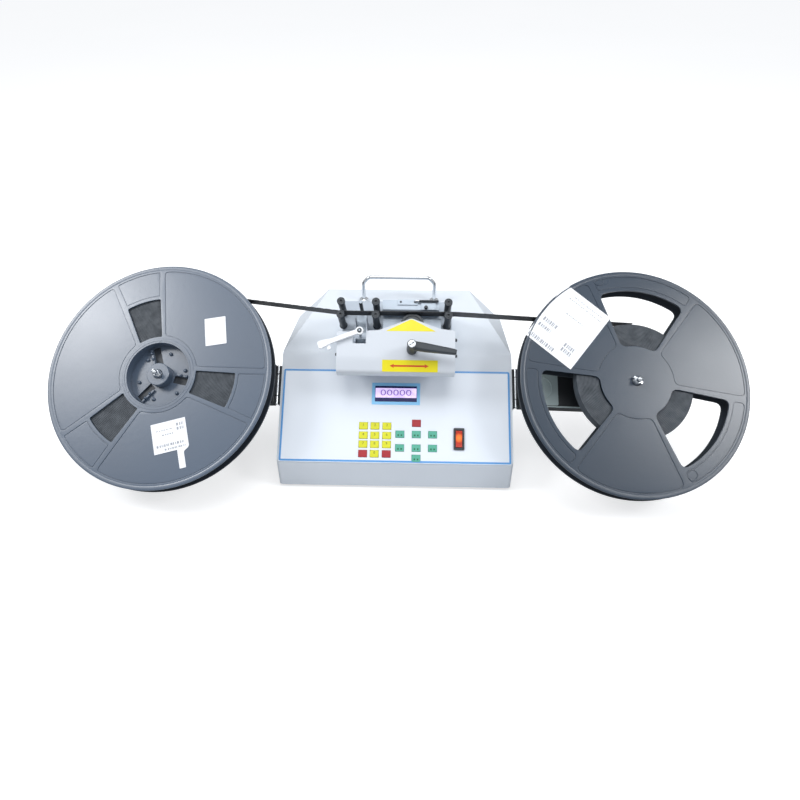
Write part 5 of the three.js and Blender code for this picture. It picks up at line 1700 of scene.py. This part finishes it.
@dataclass
class Drum(Assembly):
    """Sprocket drum that counts the pockets of the tape, with its encoder."""

    bottom: float = 41.0
    teeth: int = 27
    tooth_level: float = 53.2
    tooth_sink: float = 0.9

    def build(self) -> None:
        """Turn the drum and set its teeth."""
        low, high = self.axes.box_of("counting_drum")
        x, y = middle_of(low, high)
        rim, top, bottom = (high.x - low.x) / 2, high.z, self.bottom
        body = turned([
            (0, low.z), (3, low.z), (3, bottom), (rim - 1, bottom), (rim, bottom + 0.5), (rim, bottom + 1.6),
            (rim - 0.8, bottom + 2), (rim - 0.8, top - 2), (rim, top - 1.6), (rim, top - 0.5),
            (rim - 0.6, top), (13.4, top), (13.0, top - 1.2), (9.4, top - 1.2), (9.2, top - 0.7),
            (8.4, top - 0.7), (8.2, top - 1.2), (5.2, top - 1.2), (5.0, top - 0.3), (4.6, top), (0, top),
        ], 96, x, y)
        tooth = plate([[(-1.2, -0.8), (0.9, -0.45), (0.9, 0.45), (-1.2, 0.8)]], -0.75, 0.75, 0.15)
        teeth = ring_of(tooth, Finishes.BLACK, self.teeth, rim - self.tooth_sink, self.tooth_level)
        self.put("drum_body", Finishes.DRUM, [body, moved(teeth, x, y)], ["counting_drum"])
        refined("drum_encoder", Finishes.STEEL, 0.4)


@dataclass
class Levers(Assembly):
    """Guide slide with its post, release lever and clamping lever."""

    post_radius: float = 2.6
    post_inset: float = 2.8
    slide_screw_y: float = 190.0
    slide_top: float = 5.0
    cap_radius: float = 5.3
    cap_height: float = 1.3
    slot_size: tuple[float, float] = (7.6, 1.2)
    slot_turn: float = 35.0

    def pivot(self, name: str) -> Vector:
        """Return the place of a joint in these axes."""
        return self.axes.from_mm.inverted() @ joint_axes(name).origin

    def slide(self) -> None:
        """Build the slide with its black post and screw."""
        refined("guide_slide", Finishes.RAIL, 0.4)
        low, high = self.axes.box_of("guide_slide")
        x, y = middle_of(low, high)[0], high.y - self.post_inset
        foot, radius = low.z + self.slide_top, self.post_radius
        post = turned([(0, foot), (radius, foot), (radius, high.z - 1.4), (radius - 0.7, high.z - 0.2),
                       (0, high.z + 0.05)], 32, x, y)
        self.put("guide_post", Finishes.BLACK, [post])
        head = moved(screw_head(3.6, 1.8), x, self.slide_screw_y, foot + 1)
        self.put("slide_screw", Finishes.BLACK, [head])

    def release(self) -> None:
        """Dress the white release lever and its pivot screw."""
        refined("release_lever", Finishes.WHITE_PLASTIC, 1.1, 3)
        place = self.pivot("release_turn")
        top = self.axes.box_of("release_lever")[1].z
        # The pivot screw is black to stand for the dark hole in the lever's eye: painted shade.
        head = moved(screw_head(3.2, 1.6), place.x, place.y, top + 0.1)
        self.put("release_pivot_screw", Finishes.BLACK, [head], carrier="head_base")

    def clamp(self) -> None:
        """Dress the clamping lever and give it its slotted cap."""
        refined("clamp_lever", Finishes.BLACK, 0.9, 3)
        place = self.pivot("clamp_turn")
        top = self.axes.box_of("clamp_lever")[1].z
        loops = [circle(self.cap_radius, 48), rectangle(*self.slot_size)]
        face = plate(loops, top - self.cap_height, top + 0.08, 0.3)
        floor = plate([circle(self.cap_radius - 0.3, 48)], top - 1.2, top - 0.6)
        turn = Matrix.Rotation(math.radians(self.slot_turn), 3, "Z")
        cap = moved(joined([face, floor]), place.x, place.y, turn=turn)
        self.put("clamp_cap", Finishes.STEEL, [cap], carrier="clamp_lever")
        dress("clamp_shoe", Finishes.STEEL)

    def build(self) -> None:
        """Build the levers."""
        self.slide()
        self.release()
        self.clamp()


@dataclass
class Handle(Assembly):
    """Bare metal carry handle with cut-off corners."""

    rod: float = 3.0
    chamfer_x: float = 9.0
    chamfer_z: float = 10.0
    bend_reach: float = 4.0
    ferrule: float = 7.0
    ferrule_height: float = 3.0

    def build(self) -> None:
        """Bend the rod and stand it in its ferrules."""
        low, high = self.axes.box_of("carry_handle")
        half, top = high.x - self.ferrule, high.z - self.rod
        y, foot, reach = (low.y + high.y) / 2, low.z, self.bend_reach
        side, level = half - self.chamfer_x, top - self.chamfer_z
        corners = [(-half, foot + 0.5), (-half, level, reach), (-side, top, reach), (side, top, reach),
                   (half, level, reach), (half, foot + 0.5)]
        bar = tube([(x, y, z) for x, z in rounded(corners, 0.0, 6)], self.rod, steps=6)
        rim = foot + self.ferrule_height
        ferrules = [turned([
            (0, foot), (self.ferrule, foot), (self.ferrule, foot + 1.6), (self.ferrule - 1.8, rim), (0, rim),
        ], 40, x, y) for x in (-half, half)]
        self.put("handle_bar", Finishes.CHROME, [bar, *ferrules], ["carry_handle"])


@dataclass
class Tape:
    """A stretch of embossed carrier tape on edge along a straight line."""

    axes: Axes
    carrier: str
    start: Vector
    end: Vector
    low: float
    high: float
    thickness: float = 0.9
    pitch: float = 12.0
    first_share: float = 0.5
    last_share: float = 0.4
    pocket_length: float = 8.4
    pocket_height: float = 1.75
    pocket_sink: float = 0.3
    pocket_margin: float = 2.5
    pocket_drop: float = 1.2
    hole_pitch: float = 4.0
    hole_radius: float = 0.75
    hole_edge: float = 1.75
    bare_end: float = 0.0

    def pocket(self) -> Mesh:
        """Make one pocket.

        Returns:
            A tapered box that stands out of the tape.
        """
        width = self.high - self.low - 2 * self.pocket_margin
        outline = rounded(rectangle(self.pocket_length, width), 0.8, 2)
        shape = plate([outline], 0.0, self.pocket_height + self.pocket_sink, 0.45)
        middle = (self.low + self.high) / 2 - self.pocket_drop
        return moved(shape, 0.0, self.thickness - self.pocket_sink, middle, STAND_UP)

    def strip(self, length: float) -> Mesh:
        """Punch the flat strip and cut it between its holes, so that it can bend there.

        Args:
            length: Its length along x.

        Returns:
            The strip, standing on edge.
        """
        count = int(length / self.hole_pitch)
        holes = [circle(self.hole_radius, 10, (step + 0.5) * self.hole_pitch, self.high - self.hole_edge)
                 for step in range(count)]
        outline = [(0.0, self.low), (length, self.low), (length, self.high), (0.0, self.high)]
        work = bmesh.new()
        work.from_mesh(plate([outline, *holes], 0.0, self.thickness))
        for step in range(1, count + 1):
            whole = [*work.verts, *work.edges, *work.faces]
            place = (step * self.hole_pitch, 0, 0)
            bmesh.ops.bisect_plane(work, geom=whole, plane_co=place, plane_no=(1, 0, 0))
        return moved(closed_mesh(work), turn=STAND_UP)

    def build(self, name: str, replaces: Iterable[str], turning: Sequence[Vector] = ()) -> None:
        """Build the stretch in its place.

        Args:
            name: Name of the piece.
            replaces: CAD nodes that it stands for.
            turning: Where it leaves the case and where it joins its carrier's body, if it crosses a joint.
        """
        line = self.end - self.start
        first = self.pitch * self.first_share + max(0.0, self.bare_end)
        last = line.length - self.pitch * self.last_share + min(0.0, self.bare_end)
        pockets = Patterns.row.made(Finishes.TAPE, {"Pitch": self.pitch, "Piece": self.pocket()},
                                    points_mesh([(first, 0, 0), (last, 0, 0)], True))
        turn = Matrix.Rotation(math.atan2(line.y, line.x), 3, "Z")
        mesh = moved(joined([self.strip(line.length), pockets]), self.start.x, self.start.y, 0.0, turn)
        mesh.transform(self.axes.from_mm)
        if not turning:
            finished(mesh, name, Finishes.TAPE, body_of(self.carrier), replaces)
            return
        piece = finished(mesh, name, Finishes.TAPE, "", replaces)
        level = Vector((0, 0, (self.low + self.high) / 2))
        first, last = [tuple(self.axes.from_mm @ (place + level)) for place in turning]
        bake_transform(piece)


@dataclass
class Arm(Assembly):
    """Folding arm of one side: hinge, face plate, spindle and the free tape."""

    side: str = "left"
    barrel_radius: float = 2.32
    barrel_round: float = 0.3
    knuckle: float = 34.0
    barrel: float = 60.0
    face_near: float = 96.0
    face_far: float = 150.0
    face_inset: float = 3.2
    face_thickness: float = 1.0
    lip_near: float = 40.0
    lip_inset: float = 1.4
    bead_place: float = 122.0
    bead_radius: float = 17.0
    hub_back: float = -11.8
    hub_front: float = 11.3
    nut_height: float = 6.2
    nut_turn: float = -38.0
    last_roller: float = 91.4
    winding_radius: float = 128.0
    tape_gap: float = 0.85
    tape_bare: float = 26.0
    overlap: float = 8.0
    rim_radius: float = 168.0

    @property
    def sign(self) -> int:
        """Return 1 where the case lies on the positive side of the reel's x axis, else -1."""
        return 1 if self.side == "left" else -1

    def hinge(self) -> None:
        """Dress the leaf and put the steel barrel round the pin."""
        leaf, arm = f"hinge_leaf_{self.side}", f"arm_{self.side}"
        refined(leaf, Finishes.BLACK_COAT, 0.4)
        axes = joint_axes(arm + "_fold")
        edge, radius, end = self.barrel_round, self.barrel_radius, self.barrel / 2
        half = self.knuckle / 2 - edge
        spans = [(-half, half, arm), (half + 2 * edge, end, leaf), (-end, -half - 2 * edge, leaf)]
        for index, (low, high, carrier) in enumerate(spans):
            knuckle = turned([(0, low), (radius - edge, low), (radius, low + edge), (radius, high - edge),
                              (radius - edge, high), (0, high)], 32)
            Assembly(axes, carrier).put(f"hinge_barrel_{self.side}_{index}", Finishes.STEEL, [knuckle])

    def plate_face(self) -> None:
        """Cover the arm's face with a plate, bead and lips, whose pale colour is a painted reflection of the
        sky on the dark glossy arm.
        """
        refined(f"arm_{self.side}", Finishes.BLACK_COAT, 0.8, 3)
        high = self.axes.box_of(f"arm_{self.side}")[1]
        top, near, far = high.z, self.face_near, self.face_far
        face = top + self.face_thickness
        outline = rectangle(far - near, 2 * (high.y - self.face_inset), self.sign * (near + far) / 2)
        cover = plate([rounded(outline, 3.0)], top, face, 0.35)
        loop = circle(self.bead_radius, 40, self.sign * self.bead_place, -1.0)
        bead = tube([(x, y, face) for x, y in loop], 0.8, True)
        lips = []
        for up in (-1, 1):
            middle = self.sign * (far + self.lip_near) / 2, up * (high.y - self.lip_inset)
            lips.append(plate([rectangle(far - self.lip_near, 2.0, *middle)], top - 0.2, top + 1.4, 0.4))
        self.put(f"arm_face_{self.side}", Finishes.ARM_FACE_REFLECTION, [cover, bead, *lips])

    def spindle(self) -> None:
        """Turn the spindle and its nut."""
        node = f"spindle_{self.side}"
        low, high = self.axes.box_of(node)
        foot, end, back, front = low.z, high.z, self.hub_back, self.hub_front
        shaft = turned([
            (0, foot), (11, foot), (11, foot + 6), (9.4, back - 3.4), (19, back - 3), (19, back - 0.4),
            (18.6, back), (6.1, back), (6.1, front), (0, front),
        ], 64)
        self.put(f"spindle_shaft_{self.side}", Finishes.STEEL, [shaft], [node])
        wings = []
        for side in (-1, 1):
            near, far = side * 1.5, side * 7.6
            wing = rounded([(near, -1.6), (far, -2.4, 1.8), (far, 2.4, 1.8), (near, 1.6)], 0.2)
            wings.append(plate([wing], front + 1.5, front + 6.0, 0.6))
        top = front + self.nut_height
        boss = turned([(0, front), (6.2, front), (6.2, front + 1.4), (5.0, front + 5), (4.2, top),
                       (0, top)], 40)
        turn = Matrix.Rotation(math.radians(self.nut_turn), 3, "Z")
        self.put(f"spindle_nut_{self.side}", Finishes.STEEL, [moved(joined([boss, *wings]), turn=turn)])
        tip = turned([(0, front + 6), (3.6, front + 6), (3.6, end - 3.6), (3.4, end - 1.8), (2.2, end - 0.5),
                      (0, end)], 32)
        self.put(f"spindle_tip_{self.side}", Finishes.STEEL, [tip])

    def tape(self) -> None:
        """Stretch the free tape from the last roller to the winding."""
        node = f"tape_{self.side}"
        low, high = self.axes.box_of(node)
        start = Vector((self.sign * (max(high.x, -low.x) + self.overlap), self.last_roller, 0))
        reach = self.winding_radius + self.tape_gap
        angle = math.atan2(-start.y, -start.x) - self.sign * math.asin(reach / start.length)
        length = math.sqrt(start.length_squared - reach ** 2)
        end = start + Vector((math.cos(angle), math.sin(angle), 0)) * length
        ends = (end, start) if self.sign > 0 else (start, end)
        bare = self.sign * self.tape_bare
        stretch = Tape(self.axes, f"arm_{self.side}", *ends, low.z, high.z, bare_end=bare)
        held = math.sqrt(self.rim_radius ** 2 - reach ** 2)
        rim = end + (start - end).normalized() * held
        stretch.build(f"carrier_tape_{self.side}", [node], (start, rim))

    def build(self) -> None:
        """Build the arm."""
        self.hinge()
        self.plate_face()
        self.spindle()
        self.tape()


@dataclass
class Reel(Assembly):
    """A moulded reel: two flanges with windows and sunk fields between raised bands, hub and labels."""

    side: str = "left"
    finish: Finishes = Finishes.REEL_LEFT
    window: Sector = Sector(56, 114.5, 107.1, 17.4, 12.9, 2.5)
    fields: tuple[Sector, ...] = ()
    flange_in: float = 9.0
    ground: float = 10.4
    band: float = 11.1
    field_level: float = 10.85
    groove: float = 1.0
    bore: float = 6.6
    open_hub: float = 46.5
    recess: float = 15.0
    hub_radius: float = 50.0
    hub_wall: float = 2.4
    label_rise: float = 0.35
    print_rise: float = 0.06
    bar_thickness: float = 0.6
    bar_step: float = 0.45
    bar_gap: float = 0.7
    gap_step: float = 0.5
    bump_count: int = 6
    bump_radius: float = 35.0
    bump_turn: float = -33.0
    rib_radius: float = 33.0
    notch_inset: float = 0.9
    notch_turn: float = 92.0
    rings: tuple[tuple[float, float, float], ...] = ((8.0, 70, -130), (8.0, -47, 150))
    ring_wall: float = 1.3
    ring_rise: float = 0.3

    @property
    def radius(self) -> float:
        """Return the outer radius, from the CAD reel."""
        return self.axes.box_of(f"reel_{self.side}")[1].x

    @property
    def is_open(self) -> bool:
        """Return whether the hub is open in front, as the left reel's is."""
        return self.side == "left"

    def around(self, sector: Sector) -> list[Sector]:
        """Return a sector's three copies round the hub."""
        return [replace(sector, middle=sector.middle + THIRD_TURN * step) for step in range(3)]

    def flange(self, open_hub: bool) -> list[Mesh]:
        """Mould the flange in front: sheet, raised bands round sunk fields, and the rim's bead.

        Args:
            open_hub: Whether its middle is open.

        Returns:
            The flange's parts.
        """
        rim, level, back, sunk = self.radius, self.band, self.flange_in, self.ground - 0.4
        openings = [window.outline() for window in self.around(self.window)]
        openings.append(circle(self.open_hub, 96) if open_hub else circle(self.bore, 48))
        fields = [copy for field in self.fields for copy in self.around(field)]
        sheet = plate([circle(rim - 2, 160), *openings], back, self.ground, 0.2)
        outlines = [field.outline() for field in fields]
        bands = plate([circle(rim - 2.4, 160), *openings, *outlines], sunk, level, 0.3)
        raised = [plate([field.outline(self.groove)], sunk, self.field_level, 0.3) for field in fields]
        bead = turned([
            (rim - 7.0, level - 0.4), (rim - 6.4, level - 0.05), (rim - 5.2, level + 0.05),
            (rim - 4.4, level + 0.3), (rim - 1.6, level + 0.4), (rim - 0.5, level + 0.2), (rim, level - 0.3),
            (rim, back - 0.2), (rim - 0.6, back - 0.5), (rim - 2.6, back - 0.4), (rim - 3.2, back),
            (rim - 7.0, back + 0.3),
        ], 192)
        return [sheet, bands, *raised, bead]

    def hub(self) -> list[Mesh]:
        """Mould the wall of the hub and, in an open one, its collar, web, boss, ribs and bumps.

        Returns:
            The hub's parts.
        """
        level, radius, inner = self.band, self.hub_radius, self.hub_radius - self.hub_wall
        low, high = -self.flange_in, self.flange_in
        wall = turned([(inner, low), (radius, low), (radius, high), (inner, high)], 96)
        if not self.is_open:
            return [wall]
        floor, turn = level - self.recess, self.window.middle
        collar = turned([
            (self.open_hub, floor), (self.open_hub, level - 0.1), (self.open_hub + 0.3, level + 0.3),
            (radius - 1.6, level + 0.3), (radius - 1.3, level - 0.7), (radius - 0.6, level - 0.7),
            (radius - 0.3, level + 0.4), (radius + 2.6, level + 0.4), (radius + 3.2, level - 0.2),
            (radius - 2.2, level - 2.2), (radius - 2.2, floor),
        ], 128)
        boss = turned([(6.5, floor - 2), (16.5, floor - 2), (16.5, level - 0.7), (15.8, level), (7.0, level),
                       (6.5, level - 0.5)], 72)
        slots = [set_down(rounded(rectangle(27.0, 10.5, 32.0), 1.0), copy.middle)
                 for copy in self.around(self.window)]
        web = plate([circle(radius - 1.5, 96), circle(15.5, 64), *slots], floor - 2, floor, 0.25)
        bump = turned([(0, -0.5), (2.8, -0.5), (2.8, 0.6), (2.4, 1.8), (1.4, 2.6), (0, 2.9)], 20)
        stud = [(0, 2.4), (2.1, 2.4), (2.1, 4.4), (1.3, 5.6), (0, 6.0)]
        rib = joined([plate([rounded(rectangle(24.0, 3.0, 0, 7.2), 1.2)], -0.5, 3.2, 0.5),
                      *[moved(turned(stud, 20), x, 7.2) for x in (-4.0, 5.0)]])
        notch = plate([rounded(rectangle(3.2, 2.2), 0.4)], -0.2, 0.6, 0.1)
        return [wall, collar, boss, web,
                ring_of(bump, self.finish, self.bump_count, self.bump_radius, floor, turn + self.bump_turn),
                ring_of(rib, self.finish, 3, self.rib_radius, floor, turn),
                ring_of(notch, self.finish, 3, radius - self.notch_inset, level, self.notch_turn)]

    def bosses(self) -> list[Mesh]:
        """Mould the small rings on the bands of the closed reel.

        Returns:
            The rings.
        """
        low, high, wall = self.band - self.ring_rise, self.band + self.ring_rise, self.ring_wall
        return [plate([circle(radius, 40, x, y), circle(radius - wall, 40, x, y)], low, high, 0.25)
                for radius, x, y in self.rings]

    def back(self) -> None:
        """Mould the back flange, the mirror of the front one, and the floor behind the open hub, both in a
        darker plastic that paints the shade of the reel's far side and hollow hub.
        """
        meshes = self.flange(False)
        for mesh in meshes:
            mesh.transform(Matrix.Diagonal((1, 1, -1, 1)))
        # A dark floor behind the open hub: painted shade that makes the slots look black.
        if self.is_open:
            loops = [circle(self.hub_radius - 2.6, 72), circle(self.bore, 48)]
            meshes.append(plate(loops, -self.flange_in, -7.0))
        self.put(f"reel_back_{self.side}", Finishes.REEL_BACK_SHADE, meshes)

    def label(self, name: str, outline: list[Point], place: tuple[float, float, float],
              rows: Sequence[tuple[float, float, float, float]] = ()) -> None:
        """Stick a plain paper label on the front and print its rows of upright bars.

        Args:
            name: Name of the label.
            outline: Its outline in its own axes.
            place: Its turn in degrees and the place of its origin.
            rows: Middle, width and height of each row in its own axes.
        """
        top = self.band + self.label_rise
        sheet = plate([set_down(outline, *place)], self.field_level - 0.1, top)
        self.put(name, Finishes.LABEL, [sheet])
        bars = []
        for x, y, width, height in rows:
            left, step = x - width / 2, 0
            while left < x + width / 2:
                thick = self.bar_thickness + self.bar_step * ((step * 7) % 4)
                bar = set_down(rectangle(thick, height, left, y), *place)
                bars.append(plate([bar], top, top + self.print_rise))
                left += thick + self.bar_gap + self.gap_step * ((step * 5) % 3)
                step += 1
        if bars:
            self.put(name + "_print", Finishes.LABEL_PRINT, bars)

    def labels(self) -> None:
        """Stick the labels on the front."""
        if self.is_open:
            card = rounded([(-25, -22), (8, -22), (8, -49), (17, -49), (17, -26, 2.0), (24, -22, 2.0),
                            (25.4, -19), (25.4, 21.5), (-25, 21.5)], 0.8)
            self.label("label_small", rounded(rectangle(31, 41.5), 0.8), (7.5, 80, 63))
            self.label("label_card", card, (14, 27.4, -90), [
                (0, -12, 40, 3.4), (6, -18, 30, 2.4), (-2, 3, 16, 1.6), (-6, 10, 24, 1.2), (17, 14, 10, 4.0),
                (17, 8, 10, 4.0)])
        else:
            self.label("label_large", rounded(rectangle(80.5, 101), 1.0), (-38, -95, 77.4), [
                (-16, -44, 44, 6.0), (-25, -24, 20, 5.0), (-22, -13, 24, 6.0), (20, -34, 16, 6.0),
                (20, -26, 16, 6.0), (2, 14, 30, 1.4), (4, 36, 54, 1.2), (8, 42, 50, 1.2)])

    def build(self) -> None:
        """Mould the reel and stick its labels on."""
        front = [*self.flange(self.is_open), *self.hub(), *([] if self.is_open else self.bosses())]
        self.put(f"reel_body_{self.side}", self.finish, front, [f"reel_{self.side}"])
        self.back()
        self.labels()


@dataclass
class Winding(Assembly):
    """Carrier tape wound on a reel in one unbroken spiral."""

    side: str = "left"
    inner: float = 51.6
    pitch: float = 1.9
    gap: float = 0.45
    steps: int = 96

    def build(self) -> None:
        """Wind the strip."""
        node = f"winding_{self.side}"
        low, high = self.axes.box_of(node)
        outer = max(high.x, -low.x, high.y, -low.y)
        thickness = self.pitch - self.gap
        loops = int((outer - self.inner - thickness) / self.pitch)
        end = outer - thickness / 2
        strip = Patterns.spiral.made(Finishes.WINDING, {
            "Loops": float(loops), "Start": end - loops * self.pitch, "End": end,
            "Width": high.z - low.z, "Thickness": thickness, "Steps": self.steps,
        })
        self.put(f"wound_tape_{self.side}", Finishes.WINDING, [strip], [node])


def finish_of(node: str) -> Finishes:
    """Choose the finish of a key cap.

    Args:
        node: Name of the cap's node.

    Returns:
        Its finish.
    """
    if node.startswith("number_key"):
        return Finishes.KEY_RED if node in ("number_key_4_1", "number_key_4_3") else Finishes.KEY_YELLOW
    return Finishes.KEY_RED if node.startswith("function_key_1") else Finishes.KEY_GREEN


def main() -> None:
    """Build the studio and the counter."""
    logging.basicConfig(level=logging.INFO, format="%(name)s %(message)s")
    Studio().build()
    Housing(WORLD, "case_shell").build()
    Panel(SLOPE, "control_panel").build()
    TapeHead(SLOPE, "head_base").build()
    Rollers(SLOPE, "head_base").build()
    Drum(SLOPE, "counting_drum").build()
    Levers(SLOPE, "guide_slide").build()
    Handle(WORLD, "carry_handle").build()
    left, right = joint_axes("reel_left_spin"), joint_axes("reel_right_spin")
    Arm(left, "arm_left").build()
    Arm(right, "arm_right", side="right", winding_radius=86.0).build()
    Reel(left, "reel_left", fields=(Sector(57, 157.5, 167.1, 37.4, 45.2, 6),
                                    Sector(119, 157.5, 107.1, 12.4, 12.2, 2))).build()
    Reel(right, "reel_right", side="right", finish=Finishes.REEL_RIGHT,
         window=Sector(52, 136, 82.7, 27.5, 27.5, 10),
         fields=(Sector(54.5, 158, 142.7, 26.5, 29.0, 9), Sector(141, 158, 82.7, 27.5, 27.5, 6))).build()
    Winding(left, "reel_left").build()
    Winding(right, "reel_right", side="right").build()


if __name__ == "__main__":
    main()
